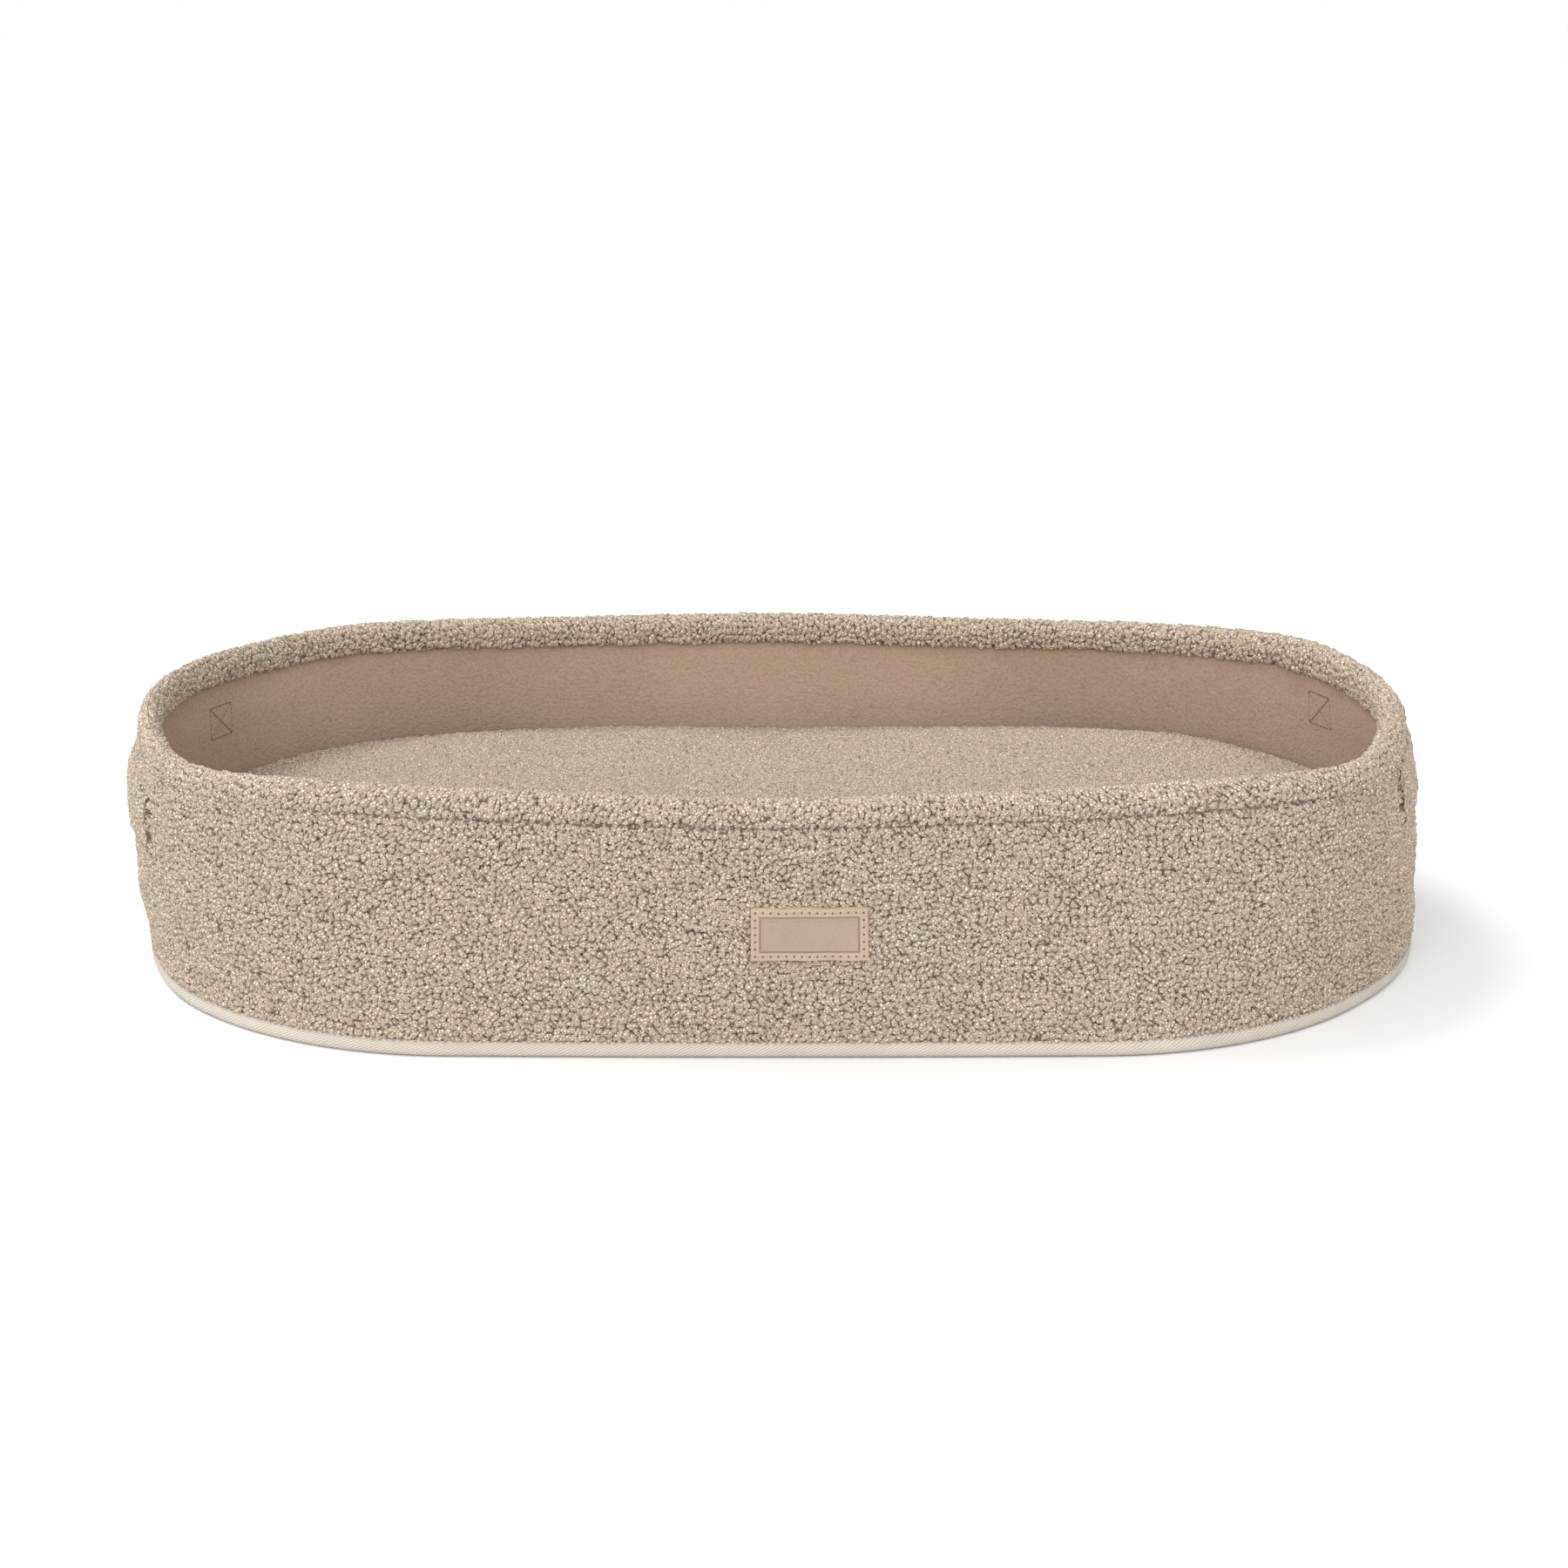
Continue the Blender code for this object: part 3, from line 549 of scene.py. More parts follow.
def pileOn(points, across, up, weight, settings, seed):
    # lifts a grid off its surface by the pile's relief and returns it with the pile's height for the colour,
    # which paints shade where the pile is low
    coarse, fine, slow = (
        nubs(across, up, settings[key], settings["span"], seed + layer)
        for layer, key in enumerate(("pitch", "finePitch", "swellPitch"))
    )
    lift = coarse * settings["relief"] + fine * settings["fineRelief"]
    raised = points + facing(points) * ((lift + (slow - 0.5) * settings["swell"]) * weight)[..., None]
    # where the weight is low the pile's height is dimmed, so thinned pile takes darker painted shade
    return raised, coarse * (0.85 + 0.15 * fine) * (0.55 + 0.45 * weight)


def seamDepth(turn, height):
    # how strong the top-stitch is and how far it pulls the cloth in: a narrow valley that fades at the ends
    fromTip = np.abs(np.mod(turn, 0.5) - 0.25)
    right = np.mod(turn, 1) < 0.5
    strength = np.where(right, smooth(fromTip, *cover["fadeRight"]), smooth(fromTip, *cover["fadeLeft"]))
    valley = np.exp(-((height - cover["stitchHeight"]) / cover["valleySpread"]) ** 2)
    return strength, strength * cover["valley"] * valley


def coverStrip(name, start, end, rolled):
    # a stretch of the wall or of the rolled rim: its profile carried round, with the pile raised on it;
    # the pile's ground lies inside both faces, and the cuff's edge wanders up and down
    inset, height, marks = evenPoints(rollProfile if rolled else wallProfile, cover["step"])
    ragged = 0
    rows = int(round((end - start) * girth / cover["step"])) + 1
    turn = np.linspace(start, end, rows)[:, None]
    outside = inset < foldRadius
    last = marks[-1]
    if rolled:
        low = smooth(marks, last - cover["wanderFrom"], last - cover["wanderTo"])
        ragged = cover["cuffWander"] * low * (waves(turn * 9) + 0.6 * waves(turn * 23))
        ground = cover["sink"] * (np.where(outside, 1, -1) * cover["rollSinkShare"])
        weight = 0.6 + 0.4 * smooth(marks, 0, cover["topFade"])
        weight = weight * (1 - 0.8 * smooth(marks, last - cover["cuffHem"], last))
    else:
        ground = cover["sink"]
        thinning = 1 - 0.5 * smooth(marks, last - cover["topFade"], last)
        weight = 0.35 + 0.65 * smooth(marks, *cover["footFade"]) * thinning
    pulled = seamDepth(turn, height)[1] * outside
    points = wallSpots(turn, height + ragged, inset + pulled + ground)
    seed = cover["rollSeed" if rolled else "wallSeed"]
    raised, pile = pileOn(points, np.mod(turn, 1) * girth, marks, weight, cover, seed)
    makeGrid(name, raised, coverBoucle, "pod", "boucle", pile=pile, replaced=("outer_cover",))


for part, start in (("FrontLeft", -0.25), ("FrontRight", 0.0), ("BackRight", 0.25), ("BackLeft", 0.5)):
    coverStrip("coverWall" + part, start, start + 0.25, False)
coverStrip("coverRimFront", -0.25, 0.25, True)
coverStrip("coverRimBack", 0.25, 0.75, True)
print("cover made")

foamWall = {
    "columns": 480, "rows": 16, "outer": 0.0040, "inner": 0.0118, "foot": 0.0017, "top": 0.1370,
}


def makeFoamWall():
    # the foam sheet that holds the wall up: an oblong section carried round inside the cover
    span = np.linspace(foamWall["foot"], foamWall["top"], foamWall["rows"])
    section = np.array([(foamWall["inner"], z) for z in span[::-1]] + [(foamWall["outer"], z) for z in span])
    turn = roundTurns(foamWall["columns"])
    points = wallSpots(turn, section[:, 1], section[:, 0])
    piece = makeGrid("foamWall", points, bodyFoam, "pod", "foam", closeRows=True, closeColumns=True,
                     replaced=("wall_stiffener",))


makeFoamWall()


# Stitch rows and the tape round the bottom edge, rounded outside and turned under

tape = {
    "columns": 1100, "step": 0.00055, "top": 0.0086, "under": 0.0104, "bulge": 0.0007, "lip": 0.0009,
}
tapeProfile = [
    (tape["under"], 0.0008), (tape["under"], 0.0), (0.0034, 0.0), (0.0015, 0.0004), (0.0002, 0.0014),
    (-tape["bulge"] * 0.8, 0.0028), (-tape["bulge"], 0.0044), (-tape["bulge"] * 0.6, 0.0060),
    (0.0001, tape["top"] - tape["lip"] - 0.0003), (0.0006, tape["top"] - tape["lip"]),
    (0.0003, tape["top"] - tape["lip"] + 0.0004), (0.0006, tape["top"]), (0.0014, tape["top"] + 0.0003),
    (0.0024, tape["top"] - 0.0003),
]
rimRow = {
    "height": cover["stitchHeight"], "inset": -0.0015, "pitch": 0.0056, "share": 0.60, "radius": 0.00042,
    "dip": 0.0014, "seed": 31, "endSink": 0.0025,
}
tapeRow = {
    "height": tape["top"] + 0.0001, "inset": 0.0001, "pitch": 0.0038, "share": 0.62, "radius": 0.00028,
    "dip": 0.0004, "seed": 37, "endSink": 0,
}


def ringStitches(name, row, material, slot, replaced):
    # dashes in a row round the wall, both ends of each dipping under the cloth; a row with an end sink rides
    # in the top-stitch's valley and sinks out of sight towards the two round ends
    count = int(girth / row["pitch"])
    draw = np.random.default_rng(row["seed"])
    middle = (np.arange(count)[:, None] + draw.uniform(-0.08, 0.08, (count, 1))) / count
    reach = np.linspace(-0.5, 0.5, 5)[None, :] * row["share"] * draw.uniform(0.8, 1.15, (count, 1)) / count
    turn = middle + reach
    sink = row["dip"] * (np.linspace(-1, 1, 5) ** 4)[None, :]
    sink = sink + draw.uniform(-0.3, 0.9, (count, 1)) * row["dip"]
    wobble = draw.uniform(-1, 1, (count, 1)) * row["radius"] * 0.8
    if row["endSink"]:
        strength, pulled = seamDepth(turn, row["height"])
        sink = sink + pulled + (1 - strength) * row["endSink"]
    paths = wallSpots(turn, row["height"] + wobble, row["inset"] + sink)
    outer, inner = (wallSpots(turn, row["height"], row["inset"] - lift) for lift in (0.001, 0))
    makeThreads(name, paths, outer - inner, row["radius"], material, "pod", slot, replaced)


def tapeRing():
    # the tape's profile carried round from the back, with the way round and across as its flat coordinates
    inset, height, marks = evenPoints(tapeProfile, tape["step"])
    turn = roundTurns(tape["columns"])
    points = wallSpots(turn + 0.5, height, inset)
    uv = np.stack(np.broadcast_arrays(turn * girth, marks), -1)
    makeGrid("bottomTape", points, creamTwill, "pod", "cream_tape", closeRows=True, uv=uv,
             replaced=("bottom_binding",))


ringStitches("rimStitches", rimRow, brownThread, "brown_thread", ("rim_stitching",))
tapeRing()
ringStitches("tapeStitches", tapeRow, creamThread, "cream_thread", ("binding_stitching",))
print("tape and stitches made")


# Lining of the wall and floor

lining = {
    "columns": 1000, "rows": 56, "top": 0.134, "foot": 0.0058, "floorHeight": 0.00605, "gap": 0.0003,
    "foldDepth": 0.0004, "foldCount": 34, "endShare": 0.8, "foldFrom": 0.05, "foldFade": (0.118, 0.13),
    "discColumns": 240, "discRows": 24, "discMiddle": 0.01, "discGap": 0.0004, "baseHeight": 0.0002,
}


def liningSpots(turn, height, lift):
    # the inner face, with slack upright folds where the wall bends round the ends, drawn in by any lift
    turn, height = np.broadcast_arrays(turn, height)
    bend = np.cos(2 * math.pi * turn) ** 2  # 1 at front and back, 0 at the two ends
    slack = lining["foldDepth"] * (1 - lining["endShare"] * bend)
    fold = slack * np.sin(2 * math.pi * lining["foldCount"] * turn + 1.7 * np.sin(40 * turn) + 9 * height)
    fade = smooth(height, lining["foot"], lining["foldFrom"]) * (1 - smooth(height, *lining["foldFade"]))
    return wallSpots(turn, height, basket["liningFace"] + lining["gap"] + fold * fade + lift)


def wallLining():
    turn = roundTurns(lining["columns"])
    height = np.linspace(lining["top"], lining["foot"], lining["rows"])[None, :]
    makeGrid("wallLining", liningSpots(turn, height, 0), liningLeather, "pod", "faux_leather", closeRows=True,
             replaced=("wall_lining",))


def floorDisc(name, height, inset, material, slot, replaced, facesUp):
    # an oval sheet: the wall's edge drawn in to the middle by shares, and the other way where it faces down
    turn = roundTurns(lining["discColumns"])
    share = np.linspace(1, lining["discMiddle"], lining["discRows"])[None, :]
    if not facesUp:
        share = share[:, ::-1]
    points = wallSpots(turn, height + 0 * share, inset)
    points[..., :2] *= share[..., None]
    points[..., 2] = height
    makeGrid(name, points, material, "pod", slot, closeRows=True, replaced=replaced)


wallLining()
floorDisc("floorLining", lining["floorHeight"], basket["liningFace"] + lining["discGap"], liningLeather,
          "faux_leather", ("base_lining",), True)
floorDisc("basePanel", lining["baseHeight"], tape["under"] - lining["discGap"], naturalCanvas, "canvas",
          ("base_cover",), False)
print("lining made")


# Patch on the front, bare inside its pressed frame

patch = {
    "length": 0.062, "width": 0.029, "thickness": 0.0014, "offset": 0.0185, "height": 0.0705,
    "cell": 0.00033, "standOff": 0.0012, "edgeRound": 0.0006, "edgeDepth": 0.0005,
    "frameMargin": 0.0049, "frameLine": 0.00042, "frameDepth": 0.0005, "frameShade": 0.70,
    "ridgeOffset": 0.0011, "ridgeShare": 0.5, "insideFade": 0.0006, "insideShade": 0.27, "sag": 0.00012,
    "seamMargin": 0.0024, "holesLong": 14, "holesShort": 6, "holeRadius": 0.00058, "holeDepth": 0.0008,
    "threadRadius": 0.00020, "threadSink": 0.00008, "threadDip": 0.0006, "waver": 0.00025,
}


def seamRuns():
    # the patch's stitches as pairs of needle holes, evenly along the four sides of the seam
    halfLong = patch["length"] / 2 - patch["seamMargin"]
    halfShort = patch["width"] / 2 - patch["seamMargin"]
    wide = np.linspace(-halfLong, halfLong, patch["holesLong"] + 1)
    tall = np.linspace(-halfShort, halfShort, patch["holesShort"] + 1)
    runs = [((a, side), (b, side)) for side in (-halfShort, halfShort) for a, b in zip(wide, wide[1:])]
    runs += [((side, a), (side, b)) for side in (-halfLong, halfLong) for a, b in zip(tall, tall[1:])]
    return np.array(runs)


def patchSpots(across, rise, lift):
    return wallSpots((patch["offset"] + across) / girth, patch["height"] + rise, -lift)


def frontPatch():
    # a thin slab: a flat face with a pressed frame line and needle holes, quarter rounds along its edges, and
    # its outermost rows and columns doubled and turned down into the pile
    halfLength = patch["length"] / 2
    halfWidth = patch["width"] / 2
    acrossLine = np.arange(-halfLength, halfLength + patch["cell"] / 2, patch["cell"])
    riseLine = np.arange(-halfWidth, halfWidth + patch["cell"] / 2, patch["cell"])
    x, y = np.meshgrid(acrossLine, riseLine, indexing="ij")
    edge = np.minimum(halfLength - np.abs(x), halfWidth - np.abs(y))
    inward = 1 - np.clip(edge / patch["edgeRound"], 0, 1)
    lift = np.full(x.shape, patch["standOff"] + patch["thickness"])
    lift -= patch["edgeRound"] * (1 - np.sqrt(np.clip(1 - inward ** 2, 0, 1)))
    fromFrame = edge - patch["frameMargin"]
    groove = np.exp(-(fromFrame / patch["frameLine"]) ** 2)
    ridge = np.exp(-((fromFrame - patch["ridgeOffset"]) / patch["frameLine"]) ** 2)
    lift += patch["frameDepth"] * (patch["ridgeShare"] * ridge - groove)
    inside = smooth(fromFrame, 0, patch["insideFade"])
    shade = 1 - patch["frameShade"] * groove - patch["insideShade"] * inside
    # each needle hole is a pit filled with painted shade
    for hole in np.unique(seamRuns().reshape(-1, 2).round(9), axis=0):
        pit = np.exp(-(np.hypot(x - hole[0], y - hole[1]) / patch["holeRadius"]) ** 4)
        lift -= patch["holeDepth"] * pit
        shade = np.minimum(shade, 1 - pit)
    lift += patch["sag"] * np.sin(x * 210) * np.sin(y * 160 + 1)
    x, y, lift, shade = (np.pad(part, 1, "edge") for part in (x, y, lift, shade))
    lift[[0, -1], :] = -patch["edgeDepth"]
    lift[:, [0, -1]] = -patch["edgeDepth"]
    waver = patch["waver"] * np.sin(x * 260 + 2) * (2 * y / patch["width"]) ** 3
    makeGrid("frontPatch", patchSpots(x, y + waver, lift), patchLeather, "pod", "patch_leather", pile=shade,
             replaced=("label_patch",))


def patchSeam():
    # short threads from hole to hole, their ends dipping into the needle holes
    runs = seamRuns()
    share = np.linspace(0.06, 0.94, 5)[None, :, None]
    flat = runs[:, None, 0] * (1 - share) + runs[:, None, 1] * share
    dip = patch["threadDip"] * (np.linspace(-1, 1, 5) ** 4)[None, :]
    lift = patch["standOff"] + patch["thickness"] - patch["threadSink"] - dip
    paths = patchSpots(flat[..., 0], flat[..., 1], lift)
    outward = patchSpots(flat[..., 0], flat[..., 1], lift + 0.001) - paths
    makeThreads("patchSeam", paths, outward, patch["threadRadius"], creamThread, "pod", "brown_thread",
                ("label_stitching",))


frontPatch()
patchSeam()
print("patch made")


# Carry straps round the two ends, each in two halves that meet at the end's middle

strap = {
    "step": 0.00085, "ring": 80, "pitch": 0.0037, "relief": 0.0025, "finePitch": 0.0018, "fineRelief": 0.0005,
    "swellPitch": 0.03, "swell": 0.0004, "span": 0.0692,
    "thickness": 0.0036, "sewn": 0.0235, "standOff": -0.0025, "bow": 0.0012,
    "endTaper": 0.007, "endSink": 0.0034,
    # the pressed line before the sewn end carries painted shadow along its groove
    "lineAt": 0.0068, "lineWidth": 0.0012, "lineDepth": 0.0006, "waver": 0.0009,
    "blendFrom": 0.074, "blendTo": 0.012,
    "ends": {  # how far each end lies from the tip, at what height, its edge's slant and its pile's seed
        "rightFront": (0.0895, 0.1090, 0.0, 65), "rightBack": (0.1042, 0.1060, 0.0, 67),
        "leftFront": (0.0985, 0.0950, 0.0035, 64), "leftBack": (0.0986, 0.1022, 0.0, 62),
    },
    "layers": {  # the furry strap, and the woven tape inside it, whose ends stop shorter
        "strap": {
            "width": 0.031, "thickness": 0.0036, "shorter": 0, "furry": True, "material": coverBoucle,
            "slot": "boucle", "nodes": ("handle_{}_grip", "handle_{}_{}_tab"),
        },
        "webbing": {
            "width": 0.024, "thickness": 0.0011, "shorter": 0.004, "furry": False, "material": naturalCanvas,
            "slot": "webbing", "nodes": ("handle_{}_webbing",),
        },
    },
}


def strapPlace(side, end):
    # the tip's turn, the way this half runs from it, its reach, end height, slant, tip height and pile's seed
    middleTurn = 0.25 if side == "right" else 0.75
    way = -1 if (end == "front") == (side == "right") else 1
    reach, height, slant, seed = strap["ends"][side + end.capitalize()]
    tipHeight = (strap["ends"][side + "Front"][1] + strap["ends"][side + "Back"][1]) / 2
    return middleTurn, way, reach, height, slant, tipHeight, seed


def strapSection(width, thickness):
    # points evenly along a rounded oblong, as shares of half its sizes, and the way round to each
    turns = np.linspace(0, -2 * math.pi, 2001)
    flat = np.sign(np.cos(turns)) * np.abs(np.cos(turns)) ** 0.35
    thick = np.sign(np.sin(turns)) * np.abs(np.sin(turns)) ** 0.6
    run = runAlong(flat * width / 2, thick * thickness / 2)
    marks = run[-1] * np.arange(strap["ring"]) / strap["ring"]
    return np.interp(marks, run, flat), np.interp(marks, run, thick), marks


def strapHalf(side, end, kind):
    # a flat tube along the wall: a rounded-oblong section carried from the tip to the sewn end, ends shut.
    # It bows out from the wall at the tip, and its sewn end dives into the pile past a pressed line
    # that carries a painted shadow
    layer = strap["layers"][kind]
    width, thickness, furry = layer["width"], layer["thickness"], layer["furry"]
    middleTurn, way, reach, endHeight, slant, tipHeight, seed = strapPlace(side, end)
    reach = reach - layer["shorter"]
    lengths = np.linspace(0, reach, int(reach / strap["step"]) + 1)[:, None]
    if way < 0:
        lengths = lengths[::-1]
    flat, thick, ringRun = strapSection(width, thickness)
    close = 1 - smooth(lengths, reach - strap["endTaper"], reach)
    rise = width / 2 * (1 - 0.08 * (1 - close) - 0.02 * np.sin(lengths * 90)) * flat
    bow = strap["bow"] * np.cos(np.clip(lengths / (reach - strap["sewn"]), 0, 1) * math.pi / 2) ** 2
    middle = strap["standOff"] + strap["thickness"] / 2 + bow
    middle = middle * close - strap["endSink"] * (1 - close)
    lift = middle + thickness / 2 * (0.25 + 0.75 * close) * thick
    toEnd = lengths / reach
    height = tipHeight + (endHeight - tipHeight) * toEnd + rise
    ripples = np.sin(rise * 420 + 1) + 0.6 * np.sin(rise * 1100 + way) + 0.4 * np.sin(rise * 2300)
    fromLine = lengths - reach + strap["lineAt"] + strap["waver"] * ripples
    line = np.exp(-(fromLine / strap["lineWidth"]) ** 2)
    lift = lift - strap["lineDepth"] * line * furry
    turn = middleTurn + way * (lengths - slant * rise * 2 / width * toEnd ** 3) / girth
    points = wallSpots(turn, height, -lift)
    pile = np.ones(points.shape[:2])
    if furry:
        # low weight thins the pile and darkens its painted shade on the face against the wall, round the
        # edges and at the shut end
        weight = (0.15 + 0.85 * smooth(thick, -0.6, 0.2)) * (0.2 + 0.8 * close)
        points, pile = pileOn(points, ringRun, lengths + 0.2, weight, strap, seed)
        # painted shadow along the pressed line, its strength coming and going
        lineShadowStrength = 0.85 + 0.15 * np.sin(rise * 330 + 2)  # the dark line comes and goes
        pile = pile * (1 - lineShadowStrength * line)
    name = kind + side.capitalize() + end.capitalize()
    nodes = [node.format(side, end) for node in layer["nodes"]]
    piece = makeMesh(name, points, tubeFaces(*points.shape[:2]), layer["material"], None, layer["slot"],
                     pile=pile, replaced=nodes)
    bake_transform(piece)


boxStitch = {
    "size": 0.019, "widen": 1.13, "fromEnd": 0.0117, "pitch": 0.0028, "share": 0.9, "radius": 0.00034,
    "proud": 0.00012, "sunk": -0.00016, "dip": 0.00025, "points": 7,
}


def boxThreads(side, end):
    # a square with two diagonals sewn through the lining: the clear lines stand proud, the others lie sunk
    middleTurn, way, reach, height = strapPlace(side, end)[:4]
    half = boxStitch["size"] / 2
    clear = [((-1, 1), (1, 1)), ((-1, 1), (1, -1)), ((1, -1), (-1, -1))]
    sunk = [((-1, -1), (-1, 1)), ((1, -1), (1, 1)), ((1, 1), (-1, -1))]
    paths, lifts = [], []
    for lines, level in ((clear, "proud"), (sunk, "sunk")):
        for first, second in np.array(lines) * half:
            count = max(int(round(np.linalg.norm(second - first) / boxStitch["pitch"])), 1)
            starts = np.arange(count)[:, None] / count
            stitch = 0.5 + np.linspace(-0.5, 0.5, boxStitch["points"]) * boxStitch["share"]
            share = starts + stitch[None, :] / count
            paths.append(first + share[..., None] * (second - first))
            lifts.append(np.full(share.shape, boxStitch[level]))
    flat = np.concatenate(paths)
    lift = np.concatenate(lifts) - boxStitch["dip"] * np.linspace(-1, 1, boxStitch["points"]) ** 4
    turn = middleTurn + way * (reach - boxStitch["fromEnd"] + flat[..., 0] * boxStitch["widen"]) / girth
    spots = liningSpots(turn, height + flat[..., 1], lift)
    outward = liningSpots(turn, height + flat[..., 1], lift + 0.001) - spots
    makeThreads(f"boxStitch{side.capitalize()}{end.capitalize()}", spots, outward, boxStitch["radius"],
                brownThread, "pod", "brown_thread", (f"handle_{side}_{end}_stitching",))


for strapSide in ("right", "left"):
    for strapEnd in ("front", "back"):
        strapHalf(strapSide, strapEnd, "strap")
        strapHalf(strapSide, strapEnd, "webbing")
        boxThreads(strapSide, strapEnd)
print("straps made")


# Changing mat: an inflated pad, read back into a fine top, a side band with its zip window, and an underside

mat = {
    "openingInset": 0.0181, "foot": 0.0063, "seam": 0.0600, "crownHeight": 0.0765, "shoulder": 0.0090,
    "crownReach": 0.045, "snugInset": 0.0146, "mostSpread": 0.010, "spreadFrom": 0.0455, "spreadTo": 0.0610,
    "stations": 192, "pressure": 4.0, "stiffness": 25, "cap": 0.006, "frames": 20, "puffShare": 0.6,
    "sidewaysShare": 0.3, "coreShares": (0.985, 0.975, 0.94), "coreRaise": 0.0028,
    "step": 0.00113, "pitch": 0.0037, "relief": 0.0026, "finePitch": 0.0018, "fineRelief": 0.0005,
    "swellPitch": 0.05, "swell": 0.0012, "span": 0.9, "seed": 71, "gathered": 0.12, "edgeFade": 0.006,
}
padRows = {  # the pad's rings: shares of the reach for the two flat faces, and a count of rings up the side
    "bottomShares": (0.02, 0.2, 0.4, 0.6, 0.75, 0.87, 0.95, 0.985), "sideFrom": 0.003, "sideRings": 9,
    "topShares": (0.99, 0.975, 0.955, 0.93, 0.89, 0.84, 0.77, 0.68, 0.58, 0.46, 0.34, 0.2, 0.02),
}


def raySpots(angle, reach, height):
    # points at a reach along each ray from the middle
    return np.stack(np.broadcast_arrays(np.cos(angle) * reach, np.sin(angle) * reach, height), -1)


def matReach(angle, height):
    # how far the mat reaches along a ray: the rim's opening below, spreading to the lining near the top
    share = height / basket["rimHeight"]
    insideX, insideY = (low + (high - low) * share for low, high in zip(
        floorSpots(angle, mat["snugInset"]), rimSpots(angle, mat["snugInset"])))
    tight = np.hypot(*rimSpots(angle, mat["openingInset"]))
    wide = np.minimum(np.hypot(insideX, insideY), tight + mat["mostSpread"])
    return tight + (np.maximum(wide, tight) - tight) * smooth(height, mat["spreadFrom"], mat["spreadTo"])


def matHeight(inset, x):
    # the top's height over an inset from its edge: a quarter round, then a slow crown, higher at the right
    inward = np.clip(inset / mat["shoulder"], 0, 1)
    shoulder = mat["shoulder"] * np.sqrt(np.clip(1 - (1 - inward) ** 2, 0, 1))
    rest = (mat["crownHeight"] - mat["seam"] - mat["shoulder"]) * (1 - np.exp(-inset / mat["crownReach"]))
    tilt = 0.0022 * np.sin(3.6 * x) + 0.0016 * np.cos(17 * x + 2.6)
    return mat["seam"] + shoulder + rest + tilt * inward


def padSpots(angle):
    # the pad before it is inflated: its rings from the middle of the underside to the middle of the top
    bottom = [(share, mat["foot"]) for share in padRows["bottomShares"]]
    sideHeights = np.linspace(mat["foot"] + padRows["sideFrom"], mat["seam"], padRows["sideRings"])
    side = [(1.0, height) for height in sideHeights]
    rings = bottom + side + [(share, None) for share in padRows["topShares"]]
    points = np.zeros((len(angle), len(rings), 3))
    for row, (share, height) in enumerate(rings):
        full = matReach(angle, mat["seam"] if height is None else height)
        x, y = np.cos(angle) * full * share, np.sin(angle) * full * share
        z = matHeight(full - full * share, x) if height is None else np.full(len(angle), height)
        points[:, row] = np.stack([x, y, z], -1)
    return points


def inflatePad(rest):
    # cloth with air pressure inside and no weight; each point may move by the cap at most
    faces = gridFaces(*rest.shape[:2], closeRows=True)
    pad = makeMesh("padTrial", rest, faces, bodyFoam, "mat", "foam")
    cloth = pad.modifiers.new("puff", "CLOTH")
    cloth.settings.use_pressure = True
    cloth.settings.uniform_pressure_force = mat["pressure"]
    cloth.settings.effector_weights.gravity = 0
    cloth.settings.tension_stiffness = mat["stiffness"]
    cloth.settings.quality = 6
    stage = bpy.context.scene
    for count in range(1, mat["frames"] + 1):
        stage.frame_set(count)
    evaluated = pad.evaluated_get(bpy.context.evaluated_depsgraph_get()).to_mesh()
    moved = np.zeros(rest.size, np.float32)
    evaluated.vertices.foreach_get("co", moved)
    stage.frame_set(1)
    bpy.data.objects.remove(pad, do_unlink=True)
    shift = moved.reshape(rest.shape) - rest
    size = np.linalg.norm(shift, axis=-1, keepdims=True)
    return shift * np.minimum(1, mat["cap"] / np.maximum(size, 1e-9)) * mat["puffShare"]


def lookUp(field, rowAt, columnAt):
    # bilinear reading of a grid that is closed round its rows
    rows, columns = field.shape[:2]
    row = np.floor(rowAt).astype(int)
    column = np.clip(np.floor(columnAt).astype(int), 0, columns - 2)
    downShare = (rowAt - row)[..., None]
    overShare = (columnAt - column)[..., None]
    near, far = (
        field[line % rows, column] * (1 - overShare) + field[line % rows, column + 1] * overShare
        for line in (row, row + 1)
    )
    return near * (1 - downShare) + far * downShare


